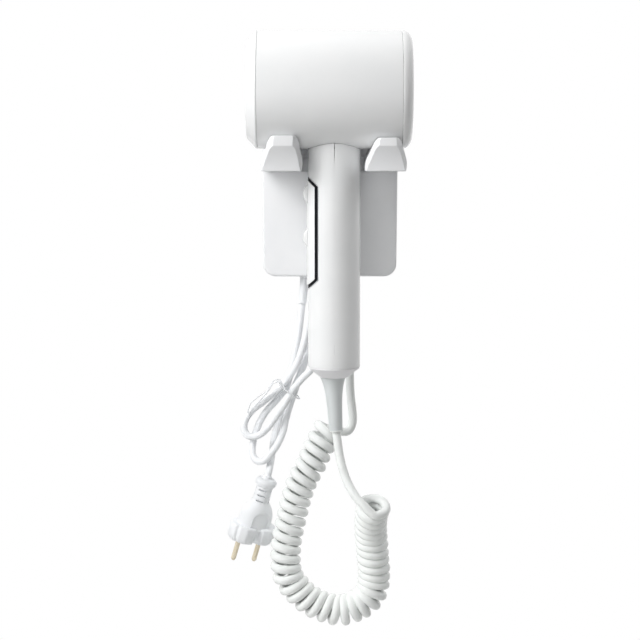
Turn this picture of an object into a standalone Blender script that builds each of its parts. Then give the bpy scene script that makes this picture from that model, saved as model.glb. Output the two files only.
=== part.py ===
"""Wall-held hair dryer: a cylindrical head lying in a two-armed wall cradle, with its curly and mains cords.

Frame: the origin is on the wall face behind the wall unit, +X to the right, -Y out of the wall, +Z up.
All values are in metres.
"""

import math

import bmesh
import bpy
from mathutils import Matrix, Vector

# Head: a horizontal cylinder
HEAD_Y = -0.056
HEAD_Z = 0.0776
HEAD_R = 0.0456
HEAD_WALL = 0.0022
HEAD_LEFT = -0.0645  # air intake end
HEAD_RIGHT = 0.0633  # air outlet end
LEFT_SEAM = -0.0561
RIGHT_SEAM = 0.0552
SPIGOT_R = 0.0430
SPIGOT_WALL = 0.0020
SPIGOT_LENGTH = 0.0037
GRILLE_R = 0.0342
CHAMFER_R = 0.0376  # where the intake end's 45 degree chamfer stops
MOUTH_R = 0.0360  # where the outlet end's rounding stops
ROUND = 60  # steps round the head
HEAD_CENTRE = (0.0, HEAD_Y, HEAD_Z)

# Handle: a vertical cylinder below the head
HANDLE_X = 0.0032
HANDLE_R = 0.0204
HANDLE_WALL = 0.0024
HANDLE_BOTTOM = -0.1378
NECK_R = 0.0172
CAP_BOTTOM = -0.1463
CAP_BOTTOM_R = 0.0100
RELIEF_LENGTH = 0.0424
RELIEF_TILT = math.radians(-3.0)

# Switch panel: a trapezoid insert in the handle's left side, with ends at 45 degrees
PANEL_BACK = -0.0130  # measured from the handle's axis
PANEL_TOP = 0.0029
PANEL_FOOT = -0.0688
TRIM_WALL = 0.0016
PANEL_R = 0.0212
KNOB_LENGTH = 0.0129
KNOB_WIDTH = 0.0100
KNOB_HEIGHTS = {"speed_knob": -0.0029, "heat_knob": -0.0368}
KNOB_TRAVEL = 0.008

# Wall unit
PLATE_HALF = 0.0536
PLATE_FOOT = -0.0697
PLATE_TOP = 0.0663
PLATE_DEPTH = 0.0250
STEP_Z = 0.0140  # the plate is thin above this height, behind the head
STEP_DEPTH = 0.0080
COVER_WALL = 0.0022
CORNER_R = 0.0100
ARM_CENTRES = {"cradle_arm_left": -0.0364, "cradle_arm_right": 0.0424}
ARM_FOOT = 0.0152
ARM_ROOT = 0.0225  # the sides are upright below this height
ARM_TOP = 0.0415
ARM_FRONT = -0.0920
ARM_LEAN = 0.0020

# Cords
MAINS_R = 0.0028
CURLY_R = 0.0034
COIL_R = 0.0120
MAINS_EXIT = (-0.0200, -0.0140, PLATE_FOOT)
MAINS_EXIT_TILT = math.radians(5.0)
CURLY_EXIT = (0.0160, -0.0140, PLATE_FOOT)
PLUG_TOP = (-0.0504, -0.0272, -0.2325)
PLUG_LEAN = math.radians(16.0)  # towards -X
PLUG_PITCH = math.radians(10.0)  # pins towards the wall
PLUG_TWIST = math.radians(30.0)
PIN_SPACING = 0.0190

GAP = 0.0003

# Route points, in millimetres
MAINS_ROUTE = [
    (-22.0, -14.0, -92.4), (-23.0, -13.5, -100.5), (-24.5, -12.5, -113.0), (-26.5, -12.0, -126.0),
    (-28.5, -11.0, -137.0), (-31.5, -9.5, -148.0), (-35.0, -9.5, -160.0), (-42.5, -10.5, -170.0),
    (-51.0, -12.0, -179.5), (-56.5, -13.5, -188.5), (-60.0, -15.5, -198.0), (-62.0, -18.0, -207.0),
    (-61.8, -21.5, -213.0), (-58.5, -25.0, -217.6), (-53.0, -27.5, -217.6), (-46.5, -27.0, -211.0),
    (-41.5, -24.0, -204.0), (-37.5, -20.5, -195.0), (-35.0, -17.0, -184.5), (-32.0, -15.0, -174.0),
    (-28.5, -14.0, -164.0), (-24.5, -13.0, -151.5), (-20.0, -12.0, -138.5), (-12.5, -12.0, -126.5),
    (-4.0, -12.5, -114.5), (1.5, -13.0, -101.5), (1.5, -13.5, -90.0), (-4.5, -14.5, -83.5),
    (-11.5, -16.0, -85.0), (-15.0, -17.5, -94.0), (-17.0, -19.0, -106.5), (-20.5, -19.5, -122.5),
    (-25.5, -19.0, -138.0), (-31.0, -17.5, -148.5), (-38.5, -15.5, -158.0), (-51.0, -15.0, -169.5),
    (-62.0, -16.0, -178.0), (-67.0, -17.5, -184.5), (-68.8, -19.5, -191.5), (-66.0, -22.0, -197.5),
    (-58.5, -24.0, -198.0), (-49.5, -24.5, -191.0), (-42.0, -24.0, -180.5), (-36.0, -23.0, -172.0),
    (-31.0, -21.5, -163.0), (-24.0, -21.0, -154.0), (-15.0, -20.5, -145.0), (-4.0, -19.0, -134.5),
    (6.0, -16.0, -123.0), (9.5, -11.5, -110.5), (5.5, -8.0, -100.5), (-2.5, -5.6, -99.5),
    (-9.5, -5.0, -108.0), (-14.0, -4.8, -121.0), (-18.0, -4.8, -134.5), (-23.5, -5.2, -149.5),
    (-30.0, -5.8, -164.0), (-37.0, -6.2, -178.0), (-42.0, -7.0, -191.0), (-44.8, -9.5, -202.5),
    (-46.2, -15.0, -211.5), (-47.3, -21.5, -219.0), (-48.7, -26.7, -226.0), (-50.0, -27.4, -231.3),
]
CURLY_LEAD_ROUTE = [
    (5.0, -56.0, -190.0), (6.0, -56.8, -197.5), (7.5, -59.0, -207.5), (10.0, -62.5, -218.0),
    (14.0, -67.0, -228.5), (19.5, -72.5, -237.5), (25.5, -76.5, -243.5), (32.5, -79.0, -246.8),
]
CURLY_COIL_ROUTE = [
    (34.1, -70.0, -245.5), (32.6, -63.0, -254.5), (32.1, -57.0, -263.0), (32.6, -52.0, -272.5),
    (33.6, -49.0, -282.5), (34.1, -47.0, -291.5), (35.1, -45.0, -300.0), (35.1, -43.0, -309.0),
    (34.1, -42.0, -317.5), (31.1, -41.0, -324.0), (26.6, -40.0, -329.0), (20.6, -39.0, -332.5),
    (14.1, -38.0, -335.5), (6.6, -37.0, -336.5), (-1.4, -36.5, -335.0), (-8.9, -36.0, -332.5),
    (-15.4, -36.0, -329.0), (-21.9, -36.0, -324.0), (-27.4, -36.0, -318.0), (-32.4, -36.5, -311.0),
    (-34.9, -37.0, -302.5), (-35.4, -37.0, -293.0), (-34.9, -37.0, -284.0), (-33.4, -37.0, -274.5),
    (-30.9, -37.0, -263.5), (-26.4, -37.0, -244.5), (-20.9, -36.5, -229.5), (-15.4, -36.0, -219.5),
    (-11.4, -35.5, -211.0), (-7.4, -34.5, -202.5), (-4.4, -33.5, -196.0), (-0.9, -32.2, -190.6),
]
CURLY_RETURN_ROUTE = [
    (0.5, -22.8, -188.7), (5.5, -22.6, -191.9), (10.5, -21.8, -194.8), (15.3, -20.5, -193.8),
    (18.3, -19.2, -187.5), (18.2, -18.0, -178.0), (16.9, -17.0, -167.0), (16.2, -16.0, -152.0),
    (16.3, -15.0, -133.5), (16.0, -14.5, -113.5), (16.0, -14.2, -97.5), (16.0, -14.0, -84.5),
]

for old in list(bpy.data.objects):
    bpy.data.objects.remove(old, do_unlink=True)

PARTS = bpy.data.collections.new("hair_dryer")
CUTTERS = bpy.data.collections.new("cutters")
bpy.context.scene.collection.children.link(PARTS)
bpy.context.scene.collection.children.link(CUTTERS)


def material(name, color, roughness, metallic=0.0):
    mat = bpy.data.materials.new(name)
    mat.use_nodes = True
    shader = mat.node_tree.nodes["Principled BSDF"]
    shader.inputs["Base Color"].default_value = (*color, 1.0)
    shader.inputs["Roughness"].default_value = roughness
    shader.inputs["Metallic"].default_value = metallic
    return mat


GLOSS_WHITE = material("gloss_white", (0.86, 0.86, 0.85), 0.18)
PLATE_WHITE = material("plate_white", (0.84, 0.85, 0.86), 0.32)
CAP_WHITE = material("cap_white", (0.80, 0.79, 0.81), 0.35)
RELIEF_GREY = material("relief_grey", (0.62, 0.65, 0.65), 0.45)
CORD_WHITE = material("cord_white", (0.86, 0.87, 0.90), 0.35)
CURLY_WHITE = material("curly_white", (0.81, 0.84, 0.81), 0.22)
CHROME = material("chrome", (0.75, 0.76, 0.78), 0.08, 1.0)
BRASS = material("brass", (0.78, 0.70, 0.52), 0.30, 1.0)
STEEL = material("steel", (0.60, 0.60, 0.62), 0.35, 1.0)
DARK_PLASTIC = material("dark_plastic", (0.05, 0.05, 0.06), 0.50)
FILTER_GREY = material("filter_grey", (0.18, 0.19, 0.20), 0.90)
MICA = material("mica", (0.62, 0.55, 0.40), 0.60)
BOARD_GREEN = material("board_green", (0.05, 0.22, 0.12), 0.50)


def pivot(name, location):
    """An empty at a joint's axis or an assembly's reference point; pieces are parented to it."""
    empty = bpy.data.objects.new(name, None)
    empty.location = location
    PARTS.objects.link(empty)
    return empty


WALL_UNIT = pivot("wall_unit", (0.0, 0.0, 0.0))
DRYER = pivot("dryer", HEAD_CENTRE)
FAN_AXIS = pivot("fan_axis", HEAD_CENTRE)


def place(name, data, location, mat, parent):
    """A part when it has a material, and a hidden cutter when it has none."""
    obj = bpy.data.objects.new(name, data)
    obj.location = location
    if mat is None:
        CUTTERS.objects.link(obj)
        obj.hide_render = True
        obj.display_type = "WIRE"
        return obj
    PARTS.objects.link(obj)
    data.materials.append(mat)
    if parent is not None:
        obj.parent = parent
        obj.location -= parent.location
    return obj


def mesh_from(bm, name):
    bmesh.ops.recalc_face_normals(bm, faces=bm.faces)
    mesh = bpy.data.meshes.new(name)
    bm.to_mesh(mesh)
    bm.free()
    return mesh


def block(name, low, high, mat=None, parent=None, corner=0.0, along="Y"):
    """A box between two corners. corner rounds its four edges that run along one axis."""
    low, high = Vector(low), Vector(high)
    bm = bmesh.new()
    bmesh.ops.create_cube(bm, size=1.0)
    for vert in bm.verts:
        vert.co = Vector(c * s for c, s in zip(vert.co, high - low))
    if corner:
        axis = "XYZ".index(along)
        edges = [e for e in bm.edges if abs((e.verts[0].co - e.verts[1].co).normalized()[axis]) > 0.99]
        bmesh.ops.bevel(bm, geom=edges, offset=corner, segments=5, profile=0.5, affect="EDGES")
    return place(name, mesh_from(bm, name), (low + high) / 2, mat, parent)


def turned(name, profile, centre, axis, mat=None, parent=None, steps=64):
    """A profile of (radius, distance along the axis), outer side from far to near, turned about an axis."""
    closed = profile[0][0] > 0 and profile[-1][0] > 0
    mesh = bpy.data.meshes.new(name)
    points = [(radius, 0.0, along) for radius, along in profile]
    edges = [(i, i + 1) for i in range(len(points) - 1)]
    if closed:
        edges.append((len(points) - 1, 0))
    mesh.from_pydata(points, edges, [])
    obj = place(name, mesh, centre, mat, parent)
    obj.rotation_euler = {"X": (0, math.pi / 2, 0), "Y": (-math.pi / 2, 0, 0), "Z": (0, 0, 0)}[axis]
    screw = obj.modifiers.new("turn", "SCREW")
    screw.steps = screw.render_steps = steps
    screw.use_merge_vertices = True
    screw.merge_threshold = 0.00001
    screw.use_smooth_shade = True
    return obj


def rod(name, radius, start, end, axis, centre, mat=None, parent=None, steps=24):
    """A plain cylinder from start to end along an axis through centre."""
    profile = [(0.0, end), (radius, end), (radius, start), (0.0, start)]
    return turned(name, profile, centre, axis, mat, parent, steps)


def ring(name, outer, inner, start, end, axis, centre, mat=None, parent=None, steps=64):
    profile = [(outer, end), (outer, start), (inner, start), (inner, end)]
    return turned(name, profile, centre, axis, mat, parent, steps)


def extruded(name, outline, start, end, mat=None, parent=None, origin=(0.0, 0.0, 0.0)):
    """A flat (x, z) outline, extruded along Y from start to end."""
    bm = bmesh.new()
    face = bm.faces.new([bm.verts.new((x, start, z)) for x, z in outline])
    made = bmesh.ops.extrude_face_region(bm, geom=[face])
    moved = [v for v in made["geom"] if isinstance(v, bmesh.types.BMVert)]
    bmesh.ops.translate(bm, verts=moved, vec=(0.0, end - start, 0.0))
    for vert in bm.verts:
        vert.co -= Vector(origin)
    return place(name, mesh_from(bm, name), origin, mat, parent)


def combine(obj, others, operation="DIFFERENCE"):
    for other in others:
        boolean = obj.modifiers.new(operation.lower(), "BOOLEAN")
        boolean.operation = operation
        boolean.object = other
    return obj


def smooth_path(points, spacing):
    """Points at an even spacing along one smooth (centripetal Catmull-Rom) curve through the route."""
    knots = [Vector(p) / 1000 for p in points]
    knots = [2 * knots[0] - knots[1], *knots, 2 * knots[-1] - knots[-2]]
    fine = []
    for p0, p1, p2, p3 in zip(knots, knots[1:], knots[2:], knots[3:]):
        t1 = (p1 - p0).length ** 0.5
        t2 = t1 + (p2 - p1).length ** 0.5
        t3 = t2 + (p3 - p2).length ** 0.5
        for step in range(16):
            t = t1 + (t2 - t1) * step / 16
            a = p0.lerp(p1, t / t1)
            b = p1.lerp(p2, (t - t1) / (t2 - t1))
            c = p2.lerp(p3, (t - t2) / (t3 - t2))
            fine.append(a.lerp(b, t / t2).lerp(b.lerp(c, (t - t1) / (t3 - t1)), (t - t1) / (t2 - t1)))
    fine.append(knots[-2])
    total = sum((b - a).length for a, b in zip(fine, fine[1:]))
    count = max(2, round(total / spacing))
    even, walked, target = [fine[0]], 0.0, total / count
    for a, b in zip(fine, fine[1:]):
        step = (b - a).length
        while walked + step >= target - 1e-9 and len(even) < count:
            even.append(a.lerp(b, (target - walked) / step))
            target += total / count
        walked += step
    even.append(fine[-1])
    return even


def tube(name, points, radius, mat, parent, resolution=2, cyclic=False):
    """A round tube along a polyline, with filled caps when it is open."""
    curve = bpy.data.curves.new(name, "CURVE")
    curve.dimensions = "3D"
    curve.bevel_depth = radius
    curve.bevel_resolution = resolution
    curve.use_fill_caps = True
    spline = curve.splines.new("POLY")
    spline.points.add(len(points) - 1)
    for point, place_at in zip(spline.points, points):
        point.co = (*place_at, 1.0)
    spline.use_cyclic_u = cyclic
    obj = place(name, curve, (0.0, 0.0, 0.0), mat, None)
    obj.parent = parent
    obj.location = -parent.location
    return obj


def panel_outline(inset):
    """The panel's trapezoid in (x, z), every side moved in by inset; its open side is past the handle."""
    back = PANEL_BACK - inset
    outer = -0.0300
    slant = inset * math.sqrt(2.0)
    top = PANEL_TOP + PANEL_BACK - slant
    foot = PANEL_FOOT - PANEL_BACK + slant
    corners = [(back, top - back), (outer, top - outer), (outer, foot + outer), (back, foot + back)]
    return [(HANDLE_X + x, z) for x, z in corners]


# ---------------------------------------------------------------- wall unit

def wall_base():
    """The flat plate that lies on the wall, inside the cover."""
    inset = COVER_WALL + 2 * GAP
    low = (-PLATE_HALF + inset, -0.0030, PLATE_FOOT + inset)
    high = (PLATE_HALF - inset, 0.0, PLATE_TOP - inset)
    base = block("wall_base", low, high, PLATE_WHITE, WALL_UNIT, CORNER_R - inset)
    holes = [rod("wall_hole", 0.0025, -0.01, 0.01, "Y", (0.0, 0.0, z), steps=24) for z in (0.045, -0.050)]
    combine(base, holes)


def wall_cover():
    """The front shell: deep below the step, thin behind the head."""
    low = (-PLATE_HALF, -PLATE_DEPTH, PLATE_FOOT)
    high = (PLATE_HALF, -GAP, PLATE_TOP)
    cover = block("wall_cover", low, high, PLATE_WHITE, WALL_UNIT, CORNER_R)
    step = block("step_cutter", (-0.07, -0.03, STEP_Z), (0.07, -STEP_DEPTH, 0.08))
    wall = COVER_WALL
    inner_r = CORNER_R - wall
    thin_low = (-PLATE_HALF + wall, -STEP_DEPTH + wall, PLATE_FOOT + wall)
    thin = block("thin_hollow", thin_low, (PLATE_HALF - wall, 0.01, PLATE_TOP - wall), corner=inner_r)
    deep_low = (-PLATE_HALF + wall, -PLATE_DEPTH + wall, PLATE_FOOT + wall)
    deep = block("deep_hollow", deep_low, (PLATE_HALF - wall, 0.011, STEP_Z - wall))
    holes = []
    for name, at in (("mains_hole", MAINS_EXIT), ("curly_hole", CURLY_EXIT)):
        holes.append(rod(name, 0.0052, -0.005, 0.005, "Z", at, steps=24))
    combine(cover, [step, deep, thin, *holes])


def cradle_arms():
    """Two arms that stand out under the head and turn up in front of it."""
    head = rod("head_clearance", HEAD_R + 0.0004, -0.09, 0.09, "X", HEAD_CENTRE, steps=96)
    shoulder, shoulder_half, top_half, foot_half = 0.0352, 0.0104, 0.0062, 0.0150
    side = [(foot_half, ARM_FOOT), (foot_half, ARM_ROOT), (shoulder_half, shoulder)]
    for step in range(1, 5):
        turn = math.pi / 2 * step / 4
        x = top_half + (shoulder_half - top_half) * math.cos(turn)
        side.append((x, shoulder + (ARM_TOP - shoulder) * math.sin(turn)))
    outline = side + [(-x, z) for x, z in reversed(side)]
    for name, centre in ARM_CENTRES.items():
        leaning = [(centre + x + ARM_LEAN * (z - ARM_FOOT) / (ARM_TOP - ARM_FOOT), z) for x, z in outline]
        arm = extruded(name, leaning, ARM_FRONT, -STEP_DEPTH - GAP, PLATE_WHITE, WALL_UNIT)
        tip = block(name + "_tip_cutter", (centre - 0.03, -0.012, 0.0), (centre + 0.03, 0.012, 0.02))
        tip.location = (centre, ARM_FRONT + 0.0003, shoulder + 0.0098)
        tip.rotation_euler = (math.radians(-54.0), 0, 0)
        combine(arm, [head, tip])


def wall_internals():
    """The terminal block, and the two clamps that hold the cords inside the wall unit."""
    floor_y = -0.0030 - GAP
    block("terminal_block", (-0.014, floor_y - 0.012, -0.030), (0.014, floor_y, -0.016), DARK_PLASTIC, WALL_UNIT)
    for name, at in (("mains_clamp", MAINS_EXIT), ("curly_clamp", CURLY_EXIT)):
        low = (at[0] - 0.009, floor_y - 0.010, PLATE_FOOT + 0.014)
        high = (at[0] + 0.009, floor_y, PLATE_FOOT + 0.021)
        block(name, low, high, DARK_PLASTIC, WALL_UNIT)


def cord_glands():
    """Flanged rubber bushings in the cover's lower edge; the mains one is the longer and leans left."""
    flange = [(0.0, 0.0048), (0.0062, 0.0048), (0.0062, 0.0033), (0.0044, 0.0033), (0.0044, -0.0010)]
    mains = flange + [(MAINS_R + 0.0005, -0.0225), (0.0, -0.0225)]
    gland = turned("mains_gland", mains, MAINS_EXIT, "Z", CORD_WHITE, WALL_UNIT, steps=24)
    gland.rotation_euler = (0.0, MAINS_EXIT_TILT, 0.0)
    curly = flange + [(CURLY_R + 0.0005, -0.0145), (0.0, -0.0145)]
    turned("curly_gland", curly, CURLY_EXIT, "Z", CURLY_WHITE, WALL_UNIT, steps=24)


# ---------------------------------------------------------------- head

def barrel_shell():
    """The head's sleeve, with a neck below it that goes down into the handle."""
    low, high = LEFT_SEAM + GAP, RIGHT_SEAM - GAP
    barrel = ring("barrel_shell", HEAD_R, HEAD_R - HEAD_WALL, low, high, "X", HEAD_CENTRE, GLOSS_WHITE, DRYER, ROUND)
    at = (HANDLE_X, HEAD_Y, 0.0)
    neck = rod("neck_solid", NECK_R, 0.014, 0.052, "Z", at, steps=40)
    hollow = rod("barrel_hollow", HEAD_R - HEAD_WALL, low + 0.001, high - 0.001, "X", HEAD_CENTRE, steps=ROUND)
    bore = rod("neck_bore", NECK_R - 0.0020, 0.010, 0.056, "Z", at, steps=40)
    combine(barrel, [neck], "UNION")
    combine(barrel, [hollow, bore])


def grille(name, start, end, bars):
    """A round grille: a disc with parallel slots, whose ends follow its rim."""
    disc = rod(name, GRILLE_R, start, end, "X", HEAD_CENTRE, DARK_PLASTIC, DRYER, 48)
    pitch = 0.0600 / bars
    bm = bmesh.new()
    for row in range(bars):
        z = (row - (bars - 1) / 2) * pitch
        half = math.sqrt(0.0315**2 - (abs(z) + pitch * 0.3) ** 2)
        size = Matrix.Diagonal((0.01, 2 * half, pitch * 0.55, 1.0))
        bmesh.ops.create_cube(bm, size=1.0, matrix=Matrix.Translation((0.0, 0.0, z)) @ size)
    centre = ((start + end) / 2, HEAD_Y, HEAD_Z)
    combine(disc, [place(name + "_slots", mesh_from(bm, name + "_slots"), centre, None, None)])


def rear_cap():
    """The intake end: a ring with a 45 degree chamfer, its grille and its dust filter."""
    rim = GRILLE_R + GAP
    seam, face = LEFT_SEAM - GAP, HEAD_LEFT
    profile = [(SPIGOT_R, LEFT_SEAM + SPIGOT_LENGTH), (SPIGOT_R, seam), (HEAD_R, seam), (CHAMFER_R, face), (rim, face)]
    inner = SPIGOT_R - SPIGOT_WALL
    profile += [(rim, face + 0.0034), (inner, LEFT_SEAM), (inner, LEFT_SEAM + SPIGOT_LENGTH)]
    turned("rear_cap", profile, HEAD_CENTRE, "X", GLOSS_WHITE, DRYER, ROUND)
    grille("intake_grille", face + 0.0008, face + 0.0024, 9)
    rod("intake_filter", GRILLE_R - 0.001, face + 0.0028, face + 0.0042, "X", HEAD_CENTRE, FILTER_GREY, DRYER, 32)


def outlet_ring():
    """The outlet end: a rounded ring, with the outlet grille set 5 mm deep in its mouth."""
    seam, face = RIGHT_SEAM + GAP, HEAD_RIGHT
    rounding = [(MOUTH_R, face)]
    for step in range(1, 5):
        turn = math.pi / 2 * step / 4
        radius = MOUTH_R + (HEAD_R - MOUTH_R) * math.sin(turn)
        rounding.append((radius, seam + (face - seam) * math.cos(turn)))
    inner = SPIGOT_R - SPIGOT_WALL
    profile = rounding + [(SPIGOT_R, seam), (SPIGOT_R, RIGHT_SEAM - SPIGOT_LENGTH)]
    profile += [(inner, RIGHT_SEAM - SPIGOT_LENGTH), (inner, RIGHT_SEAM - 0.001), (0.0330, RIGHT_SEAM + 0.001)]
    profile += [(GRILLE_R + GAP, RIGHT_SEAM + 0.001), (GRILLE_R + GAP, face)]
    turned("outlet_ring", profile, HEAD_CENTRE, "X", GLOSS_WHITE, DRYER, ROUND)
    grille("outlet_grille", RIGHT_SEAM + 0.0013, RIGHT_SEAM + 0.0028, 7)


def fan():
    """The impeller on its shaft: a hub and seven pitched blades."""
    start, end = -0.0555, -0.0465
    hub = turned(
        "fan",
        [(0.0115, end), (0.0115, start + 0.002), (0.0085, start), (0.0013, start), (0.0013, end)],
        HEAD_CENTRE, "X", DARK_PLASTIC, FAN_AXIS, 28,
    )
    blades = []
    for index in range(7):
        name = f"fan_blade_{index + 1}"
        blade = block(name, (-0.0006, -0.0045, 0.0105), (0.0006, 0.0045, 0.0390))
        turn = Matrix.Rotation(2 * math.pi * index / 7, 4, "X")
        pitch = Matrix.Rotation(math.radians(52), 4, "Z")
        middle = Matrix.Translation((0.0, 0.0, 0.02475))
        hub_at = Matrix.Translation(((start + end) / 2, HEAD_Y, HEAD_Z))
        blade.matrix_world = hub_at @ turn @ middle @ pitch
        blades.append(blade)
    combine(hub, blades, "UNION")
    rod("fan_shaft", 0.0010, start - 0.0005, -0.0445, "X", HEAD_CENTRE, STEEL, FAN_AXIS, 12)


def motor_and_mount():
    """The motor in the middle of its mount, whose vanes straighten the air behind the fan."""
    mount = ring("motor_mount", 0.0429, 0.0405, -0.0440, -0.0200, "X", HEAD_CENTRE, DARK_PLASTIC, DRYER, 40)
    sleeve = ring("mount_sleeve", 0.0168, 0.0146, -0.0430, -0.0210, "X", HEAD_CENTRE, steps=32)
    vanes = []
    for index in range(5):
        vane = block(f"mount_vane_{index + 1}", (-0.0100, -0.0008, -0.0131), (0.0100, 0.0008, 0.0131))
        turn = Matrix.Rotation(2 * math.pi * (index + 0.5) / 5, 4, "X")
        centre = Matrix.Translation((-0.0320, HEAD_Y, HEAD_Z))
        vane.matrix_world = centre @ turn @ Matrix.Translation((0.0, 0.0, 0.0288))
        vanes.append(vane)
    combine(mount, [sleeve, *vanes], "UNION")
    motor = [(0.0, -0.0080), (0.0120, -0.0080), (0.0142, -0.0100), (0.0142, -0.0425), (0.0055, -0.0425)]
    turned("motor", motor + [(0.0055, -0.0441), (0.0, -0.0441)], HEAD_CENTRE, "X", STEEL, DRYER, 32)


def heater():
    """The heater: a mica tube round two crossed mica boards, which carry the heating wire and its cut-outs."""
    ring("mica_tube", 0.0380, 0.0372, -0.0050, 0.0500, "X", HEAD_CENTRE, MICA, DRYER, 40)
    half, thick = 0.0330, 0.0004
    board = block(
        "heater_board", (-0.0020, HEAD_Y - half, HEAD_Z - thick), (0.0460, HEAD_Y + half, HEAD_Z + thick),
        MICA, DRYER,
    )
    upright = block("upright_board", (-0.0020, HEAD_Y - thick, HEAD_Z - half), (0.0460, HEAD_Y + thick, HEAD_Z + half))
    combine(board, [upright], "UNION")
    coil_r, turns, steps = half + 0.0014, 5, 12
    points = []
    for step in range(turns * steps + 1):
        angle = 2 * math.pi * step / steps
        x = 0.0030 + 0.0360 * step / (turns * steps)
        points.append((x, HEAD_Y + coil_r * math.cos(angle), HEAD_Z + coil_r * math.sin(angle)))
    tube("heater_coil", points, 0.0006, STEEL, DRYER, resolution=1)
    low = (0.0340, HEAD_Y + 0.0020, HEAD_Z + 0.0020)
    block("thermostat", low, (0.0430, HEAD_Y + 0.0110, HEAD_Z + 0.0090), STEEL, DRYER)
    rod("thermal_fuse", 0.0018, 0.0330, 0.0430, "X", (0.0, HEAD_Y - 0.0060, HEAD_Z + 0.0060), STEEL, DRYER, 12)


# ---------------------------------------------------------------- handle

def handle_shells():
    """Two half shells that meet on the plane through the head's axis; the left one holds the switch panel."""
    at = (HANDLE_X, HEAD_Y, 0.0)
    saddle = rod("saddle_cutter", HEAD_R + GAP, -0.06, 0.06, "X", HEAD_CENTRE, steps=96)
    window = extruded("panel_window", panel_outline(0.0), HEAD_Y - 0.03, HEAD_Y + 0.03)
    for name, sign in (("handle_shell_left", -1), ("handle_shell_right", 1)):
        shell = ring(
            name, HANDLE_R, HANDLE_R - HANDLE_WALL, HANDLE_BOTTOM, 0.055, "Z", at, GLOSS_WHITE, DRYER, 64
        )
        near, far = sorted((HANDLE_X + sign * GAP / 2, HANDLE_X - sign * 0.03))
        other_half = block(name + "_cutter", (near, HEAD_Y - 0.03, -0.15), (far, HEAD_Y + 0.03, 0.07))
        cutters = [other_half, saddle]
        if sign < 0:
            cutters.append(window)
        for index, z in enumerate((0.0060, -0.1150)):
            if sign > 0:
                hole = rod(f"screw_hole_{index}", 0.0026, 0.012, 0.03, "X", (HANDLE_X, HEAD_Y, z), steps=20)
                cutters.append(hole)
        combine(shell, cutters)
    for name, z in (("handle_screw_upper", 0.0060), ("handle_screw_lower", -0.1150)):
        head = [(0.0, 0.0192), (0.0022, 0.0192), (0.0022, 0.0176), (0.0011, 0.0176), (0.0011, 0.0060), (0.0, 0.0060)]
        if z > 0:
            head[-2:] = [(0.0011, NECK_R + GAP), (0.0, NECK_R + GAP)]
        turned(name, head, (HANDLE_X, HEAD_Y, z), "X", STEEL, DRYER, 16)


def switch_slots(name):
    """Cutters for the two slots that the knobs' stems travel in."""
    slots = []
    for knob, z in KNOB_HEIGHTS.items():
        low = (HANDLE_X - 0.03, HEAD_Y - 0.0016, z - KNOB_TRAVEL - 0.0024)
        high = (HANDLE_X - 0.01, HEAD_Y + 0.0016, z + 0.0024)
        slots.append(block(f"{name}_{knob}_slot", low, high))
    return slots


def switch_panel():
    """The white panel and, round it, the bright trim tray that it sits in."""
    at = (HANDLE_X, HEAD_Y, 0.0)
    front, back = HEAD_Y - 0.03, HEAD_Y + 0.03
    trim = extruded("panel_trim", panel_outline(GAP), front, back, CHROME, DRYER)
    combine(trim, [rod("trim_round", HANDLE_R + 0.0002, -0.12, 0.06, "Z", at, steps=64)], "INTERSECT")
    tray = extruded("tray_cutter", panel_outline(GAP + TRIM_WALL), front - 0.005, back + 0.005)
    combine(trim, [tray, *switch_slots("trim")])

    inset = 2 * GAP + TRIM_WALL
    panel = extruded("switch_panel", panel_outline(inset), front, back, GLOSS_WHITE, DRYER)
    combine(panel, [rod("panel_round", PANEL_R, -0.12, 0.06, "Z", at, steps=64)], "INTERSECT")
    low = (HANDLE_X - 0.0188, HEAD_Y - 0.0075, PANEL_FOOT + 0.004)
    pocket = block("panel_pocket", low, (HANDLE_X - 0.0140, HEAD_Y + 0.0075, PANEL_TOP - 0.004))
    combine(panel, [pocket, *switch_slots("panel")])


def switches():
    """Two slide switches on one board, each with a knob that slides in its slot."""
    low = (HANDLE_X - 0.0018, HEAD_Y - 0.0110, -0.0660)
    block("switch_board", low, (HANDLE_X - 0.0002, HEAD_Y + 0.0110, 0.0000), BOARD_GREEN, DRYER)
    for knob, z in KNOB_HEIGHTS.items():
        body = knob.replace("knob", "switch")
        low = (HANDLE_X - 0.0096, HEAD_Y - 0.0050, z - KNOB_TRAVEL - 0.0050)
        block(body, low, (HANDLE_X - 0.0021, HEAD_Y + 0.0050, z + 0.0045), DARK_PLASTIC, DRYER)
        slide = pivot(knob + "_slide", (HANDLE_X - PANEL_R, HEAD_Y, z))
        half, wide = KNOB_LENGTH / 2, KNOB_WIDTH / 2
        low = (HANDLE_X - 0.0237, HEAD_Y - wide, z - half)
        grip = block(knob, low, (HANDLE_X - 0.0215, HEAD_Y + wide, z + half), GLOSS_WHITE, slide, 0.0030, "X")
        low = (HANDLE_X - 0.0225, HEAD_Y - 0.0012, z - 0.0020)
        stem = block(knob + "_stem", low, (HANDLE_X - 0.0100, HEAD_Y + 0.0012, z + 0.0020))
        combine(grip, [stem], "UNION")


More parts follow.
